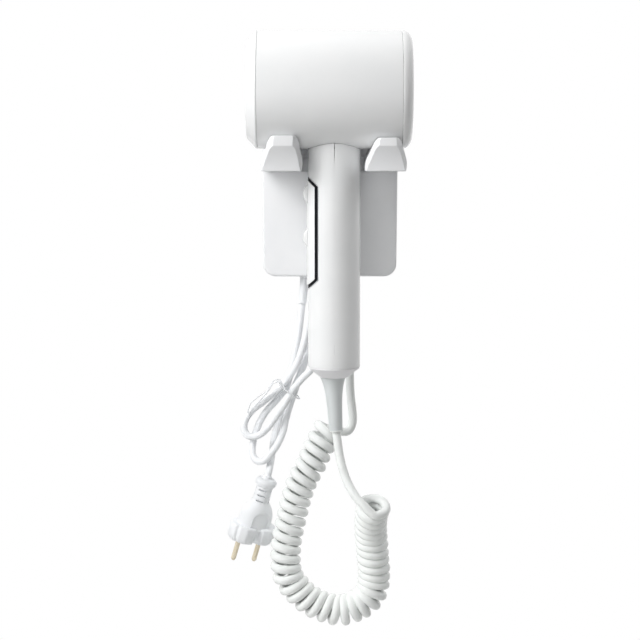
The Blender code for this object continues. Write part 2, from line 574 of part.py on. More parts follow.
def handle_foot():
    """The end cap with its conical foot, the flexible strain relief below it and the cord grip above."""
    at = (HANDLE_X, HEAD_Y, 0.0)
    top, rim = HANDLE_BOTTOM + 0.006, HANDLE_BOTTOM - GAP
    profile = [(0.0174, top), (0.0174, rim), (HANDLE_R - 0.0003, rim), (HANDLE_R - 0.0003, rim - 0.0008)]
    profile += [(CAP_BOTTOM_R, CAP_BOTTOM), (0.0070, CAP_BOTTOM), (0.0070, CAP_BOTTOM + 0.0030)]
    profile += [(0.0152, rim - 0.0010), (0.0152, top)]
    turned("handle_end_cap", profile, at, "Z", CAP_WHITE, DRYER, 40)

    relief = [(0.0, 0.0080), (0.0080, 0.0080), (0.0080, 0.0066), (0.0056, 0.0066), (0.0056, 0.0)]
    wide, narrow = 0.0094, 0.0053
    for step in range(6):
        share = step / 5
        relief.append((narrow + (wide - narrow) * (1 - share) ** 1.8, -RELIEF_LENGTH * 0.97 * share))
    relief += [(narrow + 0.0002, -RELIEF_LENGTH), (0.0, -RELIEF_LENGTH)]
    relief_at = (HANDLE_X - 0.0007, HEAD_Y, CAP_BOTTOM - 0.0008)
    boot = turned("strain_relief", relief, relief_at, "Z", RELIEF_GREY, DRYER, 24)
    boot.rotation_euler = (0.0, RELIEF_TILT, 0.0)
    low = (HANDLE_X - 0.0110, HEAD_Y - 0.0045, -0.1280)
    block("cord_grip", low, (HANDLE_X + 0.0110, HEAD_Y + 0.0045, -0.1220), DARK_PLASTIC, DRYER)


# ---------------------------------------------------------------- cords and plug

def plug():
    """A two-pin contour plug: ribbed neck, thumb-grip body and wide base, with its pins towards local -Z."""
    pose = Matrix.Rotation(PLUG_LEAN, 4, "Y") @ Matrix.Rotation(PLUG_PITCH, 4, "X")
    pose = Matrix.Translation(PLUG_TOP) @ pose @ Matrix.Rotation(PLUG_TWIST, 4, "Z")
    neck = [(0.0, 0.0), (0.0070, 0.0), (0.0086, -0.0030), (0.0070, -0.0060), (0.0056, -0.0070), (0.0056, -0.0200)]
    body = turned("plug_body", neck + [(0.0105, -0.0300), (0.0122, -0.0420), (0.0, -0.0420)], (0, 0, 0), "Z",
                  CORD_WHITE, None, 24)
    base = block("plug_base", (-0.0195, -0.0125, -0.0530), (0.0195, 0.0125, -0.0400), corner=0.0100, along="Z")
    base.matrix_world = pose @ Matrix.Translation((0.0, 0.0, -0.0465))
    combine(body, [base], "UNION")
    body.matrix_world = pose
    for name, side in (("plug_pin_left", -1), ("plug_pin_right", 1)):
        pin = rod(name, 0.0020, -0.0723, -0.0530 - GAP, "Z", (0, 0, 0), BRASS, None, 16)
        pin.matrix_world = pose @ Matrix.Translation((side * PIN_SPACING / 2, 0.0, 0.0))
    return body


def twist_tie():
    """A thin wire ring round the five strands of the folded mains cord."""
    centre = Vector((-0.0334, -0.0136, -0.1620))
    across = Vector((0.80, 0.0, -0.60))
    outward = Vector((0.0, 1.0, 0.0))
    points = []
    for step in range(24):
        angle = 2 * math.pi * step / 24
        points.append(centre + across * (0.0115 * math.cos(angle)) + outward * (0.0124 * math.sin(angle)))
    tube("twist_tie", points, 0.0005, CORD_WHITE, WALL_UNIT, resolution=1, cyclic=True)


def cords():
    """The free stretches as tubes, and the curly stretch as one fat tube of its outer diameter."""
    tube("mains_cord", smooth_path(MAINS_ROUTE, 0.0080), MAINS_R, CORD_WHITE, WALL_UNIT)
    tube("curly_lead", smooth_path(CURLY_LEAD_ROUTE, 0.0070), CURLY_R, CURLY_WHITE, WALL_UNIT)
    tube("curly_coil", smooth_path(CURLY_COIL_ROUTE, 0.0110), COIL_R, CURLY_WHITE, WALL_UNIT, resolution=3)
    tube("curly_return", smooth_path(CURLY_RETURN_ROUTE, 0.0070), CURLY_R, CURLY_WHITE, WALL_UNIT)


wall_base()
wall_cover()
cradle_arms()
wall_internals()
cord_glands()
barrel_shell()
rear_cap()
outlet_ring()
fan()
motor_and_mount()
heater()
handle_shells()
switch_panel()
switches()
handle_foot()
plug()
twist_tie()
cords()
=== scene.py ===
"""Visual model of a wall-held hair dryer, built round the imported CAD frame.

+X is to the right, -Y out of the wall, +Z up, and every value is in metres unless its name says otherwise.
"""

import math

import bmesh
import bpy
from mathutils import Matrix, Vector
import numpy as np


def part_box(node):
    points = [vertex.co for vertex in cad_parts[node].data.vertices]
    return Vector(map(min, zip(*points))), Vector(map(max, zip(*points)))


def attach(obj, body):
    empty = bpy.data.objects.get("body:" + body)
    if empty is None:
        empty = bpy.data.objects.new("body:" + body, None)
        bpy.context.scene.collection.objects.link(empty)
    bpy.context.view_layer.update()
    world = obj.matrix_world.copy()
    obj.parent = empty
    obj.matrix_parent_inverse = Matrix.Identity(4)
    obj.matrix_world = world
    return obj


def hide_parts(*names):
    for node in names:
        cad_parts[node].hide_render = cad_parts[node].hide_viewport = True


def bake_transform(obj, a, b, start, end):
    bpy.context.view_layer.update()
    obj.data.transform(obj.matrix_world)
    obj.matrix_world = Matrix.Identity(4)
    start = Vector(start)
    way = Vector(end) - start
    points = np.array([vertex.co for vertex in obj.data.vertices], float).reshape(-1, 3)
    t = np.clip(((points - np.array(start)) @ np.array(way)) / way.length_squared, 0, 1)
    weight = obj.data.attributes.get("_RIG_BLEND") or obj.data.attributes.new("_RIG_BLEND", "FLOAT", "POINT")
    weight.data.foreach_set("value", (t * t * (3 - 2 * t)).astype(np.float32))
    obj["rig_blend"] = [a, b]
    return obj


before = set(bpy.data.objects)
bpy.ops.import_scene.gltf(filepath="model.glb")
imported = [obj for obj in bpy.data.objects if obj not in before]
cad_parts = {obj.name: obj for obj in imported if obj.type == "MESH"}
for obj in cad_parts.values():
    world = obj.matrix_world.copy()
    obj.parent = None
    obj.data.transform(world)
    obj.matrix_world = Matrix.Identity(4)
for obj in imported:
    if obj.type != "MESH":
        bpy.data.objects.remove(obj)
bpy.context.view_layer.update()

MM = 0.001
GAP = 0.0003

# Head
HEAD_AT = Vector((0.0, -0.056, 0.0776))
HEAD_R = 0.0456
HEAD_WALL = 0.0022
HEAD_LEFT, HEAD_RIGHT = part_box("rear_cap")[0].x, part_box("outlet_ring")[1].x
LEFT_SEAM, RIGHT_SEAM = -0.0561, 0.0552
SPIGOT_R = 0.0430
SPIGOT_WALL = 0.0020
GRILLE_R = 0.0342
SLOTS_R = 0.0318
CHAMFER_R = 0.0376
MOUTH_R = 0.0360

# Handle
HANDLE_X = 0.0032
HANDLE_R = 0.0204
HANDLE_WALL = 0.0024
HANDLE_BOTTOM = -0.1378
CAP_BOTTOM = -0.1463
CAP_BOTTOM_R = 0.0100
NOTCH_FOOT, NOTCH_HEAD = 0.018, 0.034
RELIEF_LENGTH = 0.0424
RELIEF_TILT = math.radians(-3.0)

# Switch panel, measured from the handle's axis
PANEL_BACK = -0.0130
PANEL_TOP = 0.0029
PANEL_FOOT = -0.0688
PANEL_R = 0.0212
PANEL_INSET = 0.0018
TRIM_FOOT_R = 0.0186
TRIM_REACH = 0.0009  # how far the trim runs past the window in the CAD shell
KNOB_LENGTH = 0.0129
KNOB_WIDTH = 0.0100
KNOB_RISE = 0.0025
KNOB_HEIGHTS = {"speed": -0.0029, "heat": -0.0368}
KNOB_TRAVEL = 0.008

# Wall unit
PLATE_HALF = 0.0536
PLATE_FOOT = -0.0697
PLATE_TOP = 0.0663
PLATE_DEPTH = 0.0250
STEP_Z = 0.0140
STEP_DEPTH = 0.0080
COVER_WALL = 0.0022
CORNER_R = 0.0100
ARM_CENTRES = {"left": -0.0364, "right": 0.0424}
ARM_FOOT = 0.0152
ARM_FRONT = -0.0920

# Cords
MAINS_R = 0.0028
CURLY_R = 0.0034
COIL_MEAN_R = 0.0088
COIL_WIDER = 0.0007  # added on the coil's right side, and once more at its very start
HELIX_START = (0.0, -0.99, -0.14)
HELIX_STEPS = 16  # knots in a turn
PITCH_RIGHT = 0.0067
PITCH_LEFT = 0.0082
COIL_PLUMPER = 0.0002  # the sheath is a little thicker where it is coiled
MAINS_EXIT = (-0.0200, -0.0140, PLATE_FOOT)
MAINS_EXIT_TILT = math.radians(5.0)
CURLY_EXIT = (0.0160, -0.0140, PLATE_FOOT)
PLUG_TOP = (-0.0504, -0.0272, -0.2325)
PLUG_LEAN = math.radians(16.0)
PLUG_PITCH = math.radians(10.0)
PLUG_TWIST = math.radians(30.0)
PIN_SPACING = 0.0190
PIN_R = 0.0020

# Route points, in millimetres
MAINS_ROUTE = [
    (-22.0, -14.0, -92.4), (-23.0, -13.5, -100.5), (-24.5, -12.5, -113.0), (-26.5, -12.0, -126.0),
    (-28.5, -11.0, -137.0), (-31.5, -9.5, -148.0), (-35.0, -9.5, -160.0), (-42.5, -10.5, -170.0),
    (-51.0, -12.0, -179.5), (-56.5, -13.5, -188.5), (-60.0, -15.5, -198.0), (-62.0, -18.0, -207.0),
    (-61.8, -21.5, -213.0), (-58.5, -25.0, -217.6), (-53.0, -27.5, -217.6), (-46.5, -27.0, -211.0),
    (-41.5, -24.0, -204.0), (-37.5, -20.5, -195.0), (-35.0, -17.0, -184.5), (-32.0, -15.0, -174.0),
    (-28.5, -14.0, -164.0), (-24.5, -13.0, -151.5), (-20.0, -12.0, -138.5), (-12.5, -12.0, -126.5),
    (-4.0, -12.5, -114.5), (1.5, -13.0, -101.5), (1.5, -13.5, -90.0), (-4.5, -14.5, -83.5),
    (-11.5, -16.0, -85.0), (-15.0, -17.5, -94.0), (-17.0, -19.0, -106.5), (-20.5, -19.5, -122.5),
    (-25.5, -19.0, -138.0), (-31.0, -17.5, -148.5), (-38.5, -15.5, -158.0), (-51.0, -15.0, -169.5),
    (-62.0, -16.0, -178.0), (-67.0, -17.5, -184.5), (-68.8, -19.5, -191.5), (-66.0, -22.0, -197.5),
    (-58.5, -24.0, -198.0), (-49.5, -24.5, -191.0), (-42.0, -24.0, -180.5), (-36.0, -23.0, -172.0),
    (-31.0, -21.5, -163.0), (-24.0, -21.0, -154.0), (-15.0, -20.5, -145.0), (-4.0, -19.0, -134.5),
    (6.0, -16.0, -123.0), (9.5, -11.5, -110.5), (5.5, -8.0, -100.5), (-2.5, -5.6, -99.5),
    (-9.5, -5.0, -108.0), (-14.0, -4.8, -121.0), (-18.0, -4.8, -134.5), (-23.5, -5.2, -149.5),
    (-30.0, -5.8, -164.0), (-37.0, -6.2, -178.0), (-42.0, -7.0, -191.0), (-44.8, -9.5, -202.5),
    (-46.2, -15.0, -211.5), (-47.3, -21.5, -219.0), (-48.7, -26.7, -226.0), (-50.0, -27.4, -231.3),
]
CURLY_LEAD_ROUTE = [
    (5.0, -56.0, -190.0), (6.0, -56.8, -197.5), (7.5, -59.0, -207.5), (10.0, -62.5, -218.0),
    (14.0, -67.0, -228.5), (19.5, -72.5, -237.5), (25.5, -76.5, -243.5), (32.5, -79.0, -246.8),
]
CURLY_COIL_ROUTE = [
    (34.1, -70.0, -245.5), (32.6, -63.0, -254.5), (32.1, -57.0, -263.0), (32.6, -52.0, -272.5),
    (33.6, -49.0, -282.5), (34.1, -47.0, -291.5), (35.1, -45.0, -300.0), (35.1, -43.0, -309.0),
    (34.1, -42.0, -317.5), (31.1, -41.0, -324.0), (26.6, -40.0, -329.0), (20.6, -39.0, -332.5),
    (14.1, -38.0, -335.5), (6.6, -37.0, -336.5), (-1.4, -36.5, -335.0), (-8.9, -36.0, -332.5),
    (-15.4, -36.0, -329.0), (-21.9, -36.0, -324.0), (-27.4, -36.0, -318.0), (-32.4, -36.5, -311.0),
    (-34.9, -37.0, -302.5), (-35.4, -37.0, -293.0), (-34.9, -37.0, -284.0), (-33.4, -37.0, -274.5),
    (-30.9, -37.0, -263.5), (-26.4, -37.0, -244.5), (-20.9, -36.5, -229.5), (-15.4, -36.0, -219.5),
    (-11.4, -35.5, -211.0), (-7.4, -34.5, -202.5), (-4.4, -33.5, -196.0), (-0.9, -32.2, -190.6),
]
CURLY_RETURN_ROUTE = [
    (0.5, -22.8, -188.7), (5.5, -22.6, -191.9), (10.5, -21.8, -194.8), (15.3, -20.5, -193.8),
    (18.3, -19.2, -187.5), (18.2, -18.0, -178.0), (16.9, -17.0, -167.0), (16.2, -16.0, -152.0),
    (16.3, -15.0, -133.5), (16.0, -14.5, -113.5), (16.0, -14.2, -97.5), (16.0, -14.0, -84.5),
]


# ---------------- camera, light, floor

def camera():
    """At the photograph's viewing angle: straight on, looking down a little."""
    pitch, distance = math.radians(5.5), 1.680
    target = Vector((-0.0078, -0.0560, -0.1014))
    data = bpy.data.cameras.new("camera")
    data.sensor_width = 36.0
    data.lens = 120.9
    cam = bpy.data.objects.new("camera", data)
    cam.location = target + distance * Vector((0.0, -math.cos(pitch), math.sin(pitch)))
    cam.rotation_euler = (math.pi / 2 - pitch, 0.0, 0.0)
    bpy.context.scene.collection.objects.link(cam)
    bpy.context.scene.camera = cam


# Square lights: azimuth in degrees (0 is in front, negative to the left), elevation, power
SOFTBOXES = {
    "key_left": (-60.0, 28.0, 11.6),
    "key_high": (-40.0, 38.0, 12.0),
    "low_left": (-75.0, 10.0, 3.2),
    "front_fill": (-10.0, 5.0, 4.6),
    "rim_right": (110.0, 30.0, 11.5),
    "top_back": (180.0, 70.0, 8.0),
}
SOFTBOX_AIM = Vector((0.0, -0.05, -0.05))
SOFTBOX_AWAY, SOFTBOX_SIZE = 1.6, 0.8
# The room's grey levels at shares of the way along an axis, as it lights the part and as it is mirrored
ROOM_LIGHT = ("Y", ((0.50, 0.06), (1.0, 0.22)))
ROOM_MIRRORED = ("Z", ((0.0, 0.85), (0.40, 1.0), (0.034, 0.85), (0.036, 0.55)))


def softboxes():
    for name, (azimuth, elevation, power) in SOFTBOXES.items():
        data = bpy.data.lights.new(name, "AREA")
        data.size = SOFTBOX_SIZE
        data.energy = power
        turn, rise = math.radians(azimuth), math.radians(elevation)
        away = Vector((math.sin(turn) * math.cos(rise), -math.cos(turn) * math.cos(rise), math.sin(rise)))
        light = bpy.data.objects.new(name, data)
        light.location = SOFTBOX_AIM + away * SOFTBOX_AWAY
        light.rotation_euler = away.to_track_quat("Z", "Y").to_euler()
        light.visible_glossy = False
        bpy.context.scene.collection.objects.link(light)


def made(nodes, kind, **values):
    """A new shader node with these values in its inputs."""
    node = nodes.new("ShaderNode" + kind)
    for socket, value in values.items():
        node.inputs[socket.replace("_", " ")].default_value = value
    return node


def room(tree, axis, stops):
    """A background whose grey level changes along one axis."""
    nodes, links = tree.nodes, tree.links
    place = nodes.new("ShaderNodeTexCoord")
    axes = nodes.new("ShaderNodeSeparateXYZ")
    links.new(place.outputs["Generated"], axes.inputs["Vector"])
    share = made(nodes, "MapRange", From_Min=-1.0, From_Max=1.0)
    links.new(axes.outputs[axis], share.inputs["Value"])
    ramp = nodes.new("ShaderNodeValToRGB")
    for index, (position, grey) in enumerate(stops):
        stop = ramp.color_ramp.elements[index] if index < 2 else ramp.color_ramp.elements.new(position)
        stop.position = position
        stop.color = (grey, grey, grey, 1.0)
    links.new(share.outputs["Result"], ramp.inputs["Fac"])
    background = nodes.new("ShaderNodeBackground")
    links.new(ramp.outputs["Color"], background.inputs["Color"])
    return background.outputs["Background"]


def studio():
    """A room that looks white, with key lights on the left. Most light comes from the softboxes."""
    bpy.context.scene.view_settings.view_transform = "Standard"
    world = bpy.data.worlds.new("studio")
    bpy.context.scene.world = world
    world.use_nodes = True
    nodes, links = world.node_tree.nodes, world.node_tree.links
    white = nodes["Background"]
    white.inputs["Color"].default_value = (1.0, 1.0, 1.0, 1.0)
    white.inputs["Strength"].default_value = 1.0
    rays = nodes.new("ShaderNodeLightPath")
    shown = room(world.node_tree, *ROOM_LIGHT)
    for ray, other in (
        ("Is Glossy Ray", room(world.node_tree, *ROOM_MIRRORED)),
        ("Is Camera Ray", white.outputs["Background"]),
    ):
        mix = nodes.new("ShaderNodeMixShader")
        links.new(rays.outputs[ray], mix.inputs["Fac"])
        links.new(shown, mix.inputs[1])
        links.new(other, mix.inputs[2])
        shown = mix.outputs["Shader"]
    links.new(shown, nodes["World Output"].inputs["Surface"])
    softboxes()


def floor(mat):
    """A pale disc, far enough below that the part never reaches it."""
    bm = bmesh.new()
    bmesh.ops.create_circle(bm, cap_ends=True, segments=96, radius=0.75)
    mesh = mesh_of(bm)
    disc = bpy.data.objects.new("floor", mesh)
    disc.location = (0.0, -0.06, -0.60)
    mesh.materials.append(mat)
    bpy.context.scene.collection.objects.link(disc)


# ---------------- materials

def surface(name, colour, shade, roughness, spread=0.05, patch=45.0, grain=1400.0, relief=0.03, **sockets):
    """A moulded material. Soft patches vary its colour and gloss, and a fine grain varies its height."""
    mat = bpy.data.materials.new(name)
    mat.use_nodes = True
    nodes, links = mat.node_tree.nodes, mat.node_tree.links
    shader = nodes["Principled BSDF"]
    for socket, value in sockets.items():
        shader.inputs[socket.replace("_", " ")].default_value = value
    place = nodes.new("ShaderNodeTexCoord")

    patches = made(nodes, "TexNoise", Scale=patch, Detail=4.0)
    links.new(place.outputs["Object"], patches.inputs["Vector"])
    ramp = nodes.new("ShaderNodeValToRGB")
    ramp.color_ramp.elements[0].position = 0.35
    ramp.color_ramp.elements[0].color = (*colour, 1.0)
    ramp.color_ramp.elements[1].position = 0.80
    ramp.color_ramp.elements[1].color = (*shade, 1.0)
    links.new(patches.outputs["Fac"], ramp.inputs["Fac"])
    links.new(ramp.outputs["Color"], shader.inputs["Base Color"])

    fine = made(nodes, "TexNoise", Scale=grain, Detail=3.0)
    links.new(place.outputs["Object"], fine.inputs["Vector"])
    gloss = made(nodes, "MapRange", To_Min=roughness - spread, To_Max=roughness + spread)
    links.new(patches.outputs["Fac"], gloss.inputs["Value"])
    links.new(gloss.outputs["Result"], shader.inputs["Roughness"])
    bump = made(nodes, "Bump", Strength=relief, Distance=0.0002)
    links.new(fine.outputs["Fac"], bump.inputs["Height"])
    links.new(bump.outputs["Normal"], shader.inputs["Normal"])
    return mat


def steel_mesh(name):
    """A fine woven wire screen: two sets of ripples that cross."""
    mat = surface(name, (0.30, 0.31, 0.32), (0.20, 0.21, 0.22), 0.45, Metallic=0.8)
    nodes, links = mat.node_tree.nodes, mat.node_tree.links
    place = nodes["Texture Coordinate"]
    waves = []
    for direction in ("Y", "Z"):
        wave = made(nodes, "TexWave", Scale=260.0)
        wave.bands_direction = direction
        links.new(place.outputs["Object"], wave.inputs["Vector"])
        waves.append(wave)
    top = nodes.new("ShaderNodeMath")
    top.operation = "MAXIMUM"
    links.new(waves[0].outputs["Fac"], top.inputs[0])
    links.new(waves[1].outputs["Fac"], top.inputs[1])
    weave = made(nodes, "Bump", Strength=0.8, Distance=0.0004)
    links.new(top.outputs["Value"], weave.inputs["Height"])
    links.new(weave.outputs["Normal"], nodes["Principled BSDF"].inputs["Normal"])
    return mat


GLOSS_WHITE = surface(
    "gloss_white", (0.88, 0.885, 0.885), (0.855, 0.865, 0.868), 0.10, spread=0.03, relief=0.015
)
PLATE_WHITE = surface("plate_white", (0.885, 0.89, 0.90), (0.86, 0.87, 0.885), 0.36, relief=0.05)
CAP_WHITE = surface("cap_white", (0.90, 0.895, 0.91), (0.87, 0.865, 0.885), 0.30)
RELIEF_GREY = surface("relief_grey", (0.67, 0.70, 0.70), (0.63, 0.66, 0.66), 0.42, relief=0.06)
CORD_WHITE = surface("cord_white", (0.905, 0.92, 0.935), (0.885, 0.90, 0.92), 0.34, relief=0.05)
# Painted shade: the cord's white made darker on the plug, so the strong key light from the left leaves it
# less bright.
PLUG_WHITE_PAINTED_SHADE = surface("plug_white_painted_shade", (0.865, 0.88, 0.895), (0.845, 0.86, 0.88), 0.40, relief=0.05)
CURLY_WHITE = surface("curly_white", (0.88, 0.90, 0.885), (0.86, 0.88, 0.865), 0.26, relief=0.04)
CHROME = surface("chrome", (0.78, 0.79, 0.81), (0.72, 0.73, 0.75), 0.10, spread=0.04, Metallic=1.0)
# Painted reflection: flat black standing for the dark room mirrored in the chrome trim round the switch
# panel.
CHROME_DARK_REFLECTION = surface(
    "chrome_dark_reflection", (0.010, 0.010, 0.012), (0.016, 0.016, 0.018), 0.40, Specular_IOR_Level=0.04
)
BRASS = surface("brass", (0.80, 0.72, 0.56), (0.72, 0.64, 0.48), 0.34, patch=260.0, Metallic=0.75)
STEEL = surface("steel", (0.60, 0.60, 0.62), (0.50, 0.50, 0.52), 0.34, patch=160.0, Metallic=1.0)
DARK_PLASTIC = surface("dark_plastic", (0.045, 0.045, 0.05), (0.06, 0.06, 0.065), 0.46, relief=0.10)
FILTER_GREY = steel_mesh("filter_grey")
MICA = surface("mica", (0.62, 0.55, 0.40), (0.50, 0.42, 0.28), 0.50, patch=220.0, relief=0.15)
BOARD_GREEN = surface("board_green", (0.05, 0.22, 0.12), (0.04, 0.17, 0.09), 0.42, patch=180.0)
FLOOR_PALE = surface("floor_pale", (0.80, 0.80, 0.79), (0.77, 0.77, 0.765), 0.60, patch=6.0, grain=300.0)

NODE_FINISHES = (
    (PLATE_WHITE, ("wall_base",)),
    (DARK_PLASTIC, ("terminal_block", "mains_clamp", "curly_clamp", "motor_mount", "fan")),
    (DARK_PLASTIC, ("speed_switch", "heat_switch", "cord_grip")),
    (STEEL, ("motor", "fan_shaft", "heater_coil", "thermostat", "thermal_fuse")),
    (STEEL, ("handle_screw_upper", "handle_screw_lower")),
    (MICA, ("mica_tube", "heater_board")),
    (FILTER_GREY, ("intake_filter",)),
    (BOARD_GREEN, ("switch_board",)),
)


def finish_nodes():
    """The CAD nodes that stay as they are get their materials."""
    for mat, names in NODE_FINISHES:
        for name in names:
            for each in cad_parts[name].material_slots:
                each.material = mat


# ---------------- mesh helpers

def mesh_of(bm):
    bmesh.ops.recalc_face_normals(bm, faces=bm.faces)
    mesh = bpy.data.meshes.new("piece")
    bm.to_mesh(mesh)
    bm.free()
    return mesh


def piece(name, mesh, mat, body, slot, *replaced, crisp=32):
    """A named piece that rides on a body and stands for CAD nodes. Edges over crisp degrees stay sharp."""
    obj = bpy.data.objects.new(name, mesh)
    mesh.name = name
    mesh.materials.clear()
    mesh.materials.append(mat)
    mesh.shade_smooth()
    mesh.set_sharp_from_angle(angle=math.radians(crisp))
    bpy.context.scene.collection.objects.link(obj)
    if body is not None:
        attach(obj, body)
    if replaced:
        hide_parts(*replaced)
    return obj


def soften(points, radius, closed=True, steps=5):
    """A 2-D outline with each corner rounded by an arc. A point's own third value is its own radius."""
    result = []
    for index, point in enumerate(points):
        here = Vector(point[:2])
        own = point[2] if len(point) > 2 else radius
        if own <= 0 or (not closed and index in (0, len(points) - 1)):
            result.append(tuple(here))
            continue
        back = Vector(points[index - 1][:2]) - here
        ahead = Vector(points[(index + 1) % len(points)][:2]) - here
        angle = back.angle(ahead)
        if angle > math.pi - 0.03:
            result.append(tuple(here))
            continue
        reach = min(own / math.tan(angle / 2), back.length * 0.49, ahead.length * 0.49)
        towards = (back.normalized() + ahead.normalized()).normalized()
        centre = here + towards * (reach / math.cos(angle / 2))
        first = here + back.normalized() * reach - centre
        last = here + ahead.normalized() * reach - centre
        turn = math.atan2(first.x * last.y - first.y * last.x, first.dot(last))
        for step in range(steps + 1):
            part = turn * step / steps
            cos, sin = math.cos(part), math.sin(part)
            x, y = first.x * cos - first.y * sin, first.x * sin + first.y * cos
            result.append((centre.x + x, centre.y + y))
    return result


def loft(loops, cyclic=False, caps=True):
    """A skin over closed loops that all have the same number of points."""
    bm = bmesh.new()
    rings = [[bm.verts.new(point) for point in loop] for loop in loops]
    for a, b in zip(rings, rings[1:] + rings[:1] if cyclic else rings[1:]):
        for i in range(len(a)):
            j = (i + 1) % len(a)
            bm.faces.new((a[i], a[j], b[j], b[i]))
    if caps and not cyclic:
        bm.faces.new(rings[0][::-1])
        bm.faces.new(rings[-1])
    return mesh_of(bm)


def lathe(profile, pose=None, steps=160):
    """A (radius, height) outline turned about local Z. It is closed unless its ends are on the axis."""
    bm = bmesh.new()
    rows = []
    for radius, height in profile:
        if radius < 1e-7:
            rows.append([bm.verts.new((0.0, 0.0, height))] * steps)
            continue
        row = []
        for step in range(steps):
            turn = 2 * math.pi * step / steps
            row.append(bm.verts.new((radius * math.cos(turn), radius * math.sin(turn), height)))
        rows.append(row)
    open_ended = profile[0][0] < 1e-7 and profile[-1][0] < 1e-7
    for a, b in zip(rows, rows[1:] if open_ended else rows[1:] + rows[:1]):
        for i in range(steps):
            j = (i + 1) % steps
            corners = list(dict.fromkeys((a[i], a[j], b[j], b[i])))
            if len(corners) > 2:
                bm.faces.new(corners)
    mesh = mesh_of(bm)
    if pose is not None:
        mesh.transform(pose)
    return mesh


def joined(*meshes):
    """One mesh of several separate shells."""
    bm = bmesh.new()
    for mesh in meshes:
        bm.from_mesh(mesh)
    whole = bpy.data.meshes.new("joined")
    bm.to_mesh(whole)
    bm.free()
    return whole


def settled(obj, tools=()):
    """The object's mesh with its modifiers applied; the helpers go."""
    bpy.context.view_layer.update()
    graph = bpy.context.evaluated_depsgraph_get()
    mesh = bpy.data.meshes.new_from_object(obj.evaluated_get(graph))
    for used in (obj, *tools):
        bpy.data.objects.remove(used, do_unlink=True)
    return mesh


def helper(mesh):
    obj = bpy.data.objects.new("helper", mesh)
    bpy.context.scene.collection.objects.link(obj)
    return obj


def carved(mesh, *cutters):
    """The mesh less the cutters."""
    solid = helper(mesh)
    tools = [helper(cutter) for cutter in cutters]
    for tool in tools:
        cut = solid.modifiers.new("cut", "BOOLEAN")
        cut.solver = "EXACT"
        cut.object = tool
    return settled(solid, tools)


def bevelled(mesh, width, segments=3, over=30):
    """The mesh with every edge sharper than over degrees rounded."""
    solid = helper(mesh)
    bevel = solid.modifiers.new("bevel", "BEVEL")
    bevel.width = width
    bevel.segments = segments
    bevel.limit_method = "ANGLE"
    bevel.angle_limit = math.radians(over)
    return settled(solid)


def extruded(outline, start, end, axis="Y"):
    """A flat outline, in the order of the other two axes, extruded along X or Y."""
    loops = []
    for along in (start, end):
        loops.append([(along, a, b) if axis == "X" else (a, along, b) for a, b in outline])
    return loft(loops)


def smooth_path(points, spacing, scale=MM):
    """Points at an even spacing along one smooth (centripetal Catmull-Rom) curve through the route."""
    knots = [Vector(p) * scale for p in points]
    knots = [2 * knots[0] - knots[1], *knots, 2 * knots[-1] - knots[-2]]
    fine = []
    for p0, p1, p2, p3 in zip(knots, knots[1:], knots[2:], knots[3:]):
        t1 = (p1 - p0).length ** 0.5
        t2 = t1 + (p2 - p1).length ** 0.5
        t3 = t2 + (p3 - p2).length ** 0.5
        for step in range(16):
            t = t1 + (t2 - t1) * step / 16
            a = p0.lerp(p1, t / t1)
            b = p1.lerp(p2, (t - t1) / (t2 - t1))
            c = p2.lerp(p3, (t - t2) / (t3 - t2))
            fine.append(a.lerp(b, t / t2).lerp(b.lerp(c, (t - t1) / (t3 - t1)), (t - t1) / (t2 - t1)))
    fine.append(knots[-2])
    total = sum((b - a).length for a, b in zip(fine, fine[1:]))
    count = max(2, round(total / spacing))
    even, walked, target = [fine[0]], 0.0, total / count
    for a, b in zip(fine, fine[1:]):
        step = (b - a).length
        while walked + step >= target - 1e-9 and len(even) < count:
            even.append(a.lerp(b, (target - walked) / step))
            target += total / count
        walked += step
    even.append(fine[-1])
    return even


def length_of(path):
    return sum((b - a).length for a, b in zip(path, path[1:]))


def frames_along(path, first=None):
    """(point, tangent, normal, binormal) along a path, with no twist, from a wanted first normal."""
    tangents = []
    for before, after in zip([path[0], *path[:-1]], [*path[1:], path[-1]]):
        tangents.append((after - before).normalized())
    normal = Vector(first) if first is not None else tangents[0].orthogonal()
    result = []
    for at, tangent in zip(path, tangents):
        normal = (normal - tangent * normal.dot(tangent)).normalized()
        result.append((at, tangent, normal, tangent.cross(normal)))
    return result


def tube(path, radius, sides=16, cyclic=False):
    """A round tube along a path, with flat ends unless cyclic. The radius is one value or a list."""
    radii = radius if isinstance(radius, list) else [radius] * len(path)
    loops = []
    for (at, _, normal, binormal), size in zip(frames_along(path), radii):
        loop = []
        for side in range(sides):
            turn = 2 * math.pi * side / sides
            loop.append(at + size * (normal * math.cos(turn) + binormal * math.sin(turn)))
        loops.append(loop)
    return loft(loops, cyclic)


def about_x(x=0.0):
    """Turns local Z to +X, on the head's axis."""
    return Matrix.Translation((x, HEAD_AT.y, HEAD_AT.z)) @ Matrix.Rotation(math.pi / 2, 4, "Y")


def on_handle(z=0.0):
    return Matrix.Translation((HANDLE_X, HEAD_AT.y, z))


# ---------------- cords

def mains_cord():
    path = smooth_path(MAINS_ROUTE, 0.0020)
    mesh = tube(path, MAINS_R, 20)
    lead = piece("mains_lead", mesh, CORD_WHITE, "wall_unit", "cord_white", "mains_cord", crisp=60)


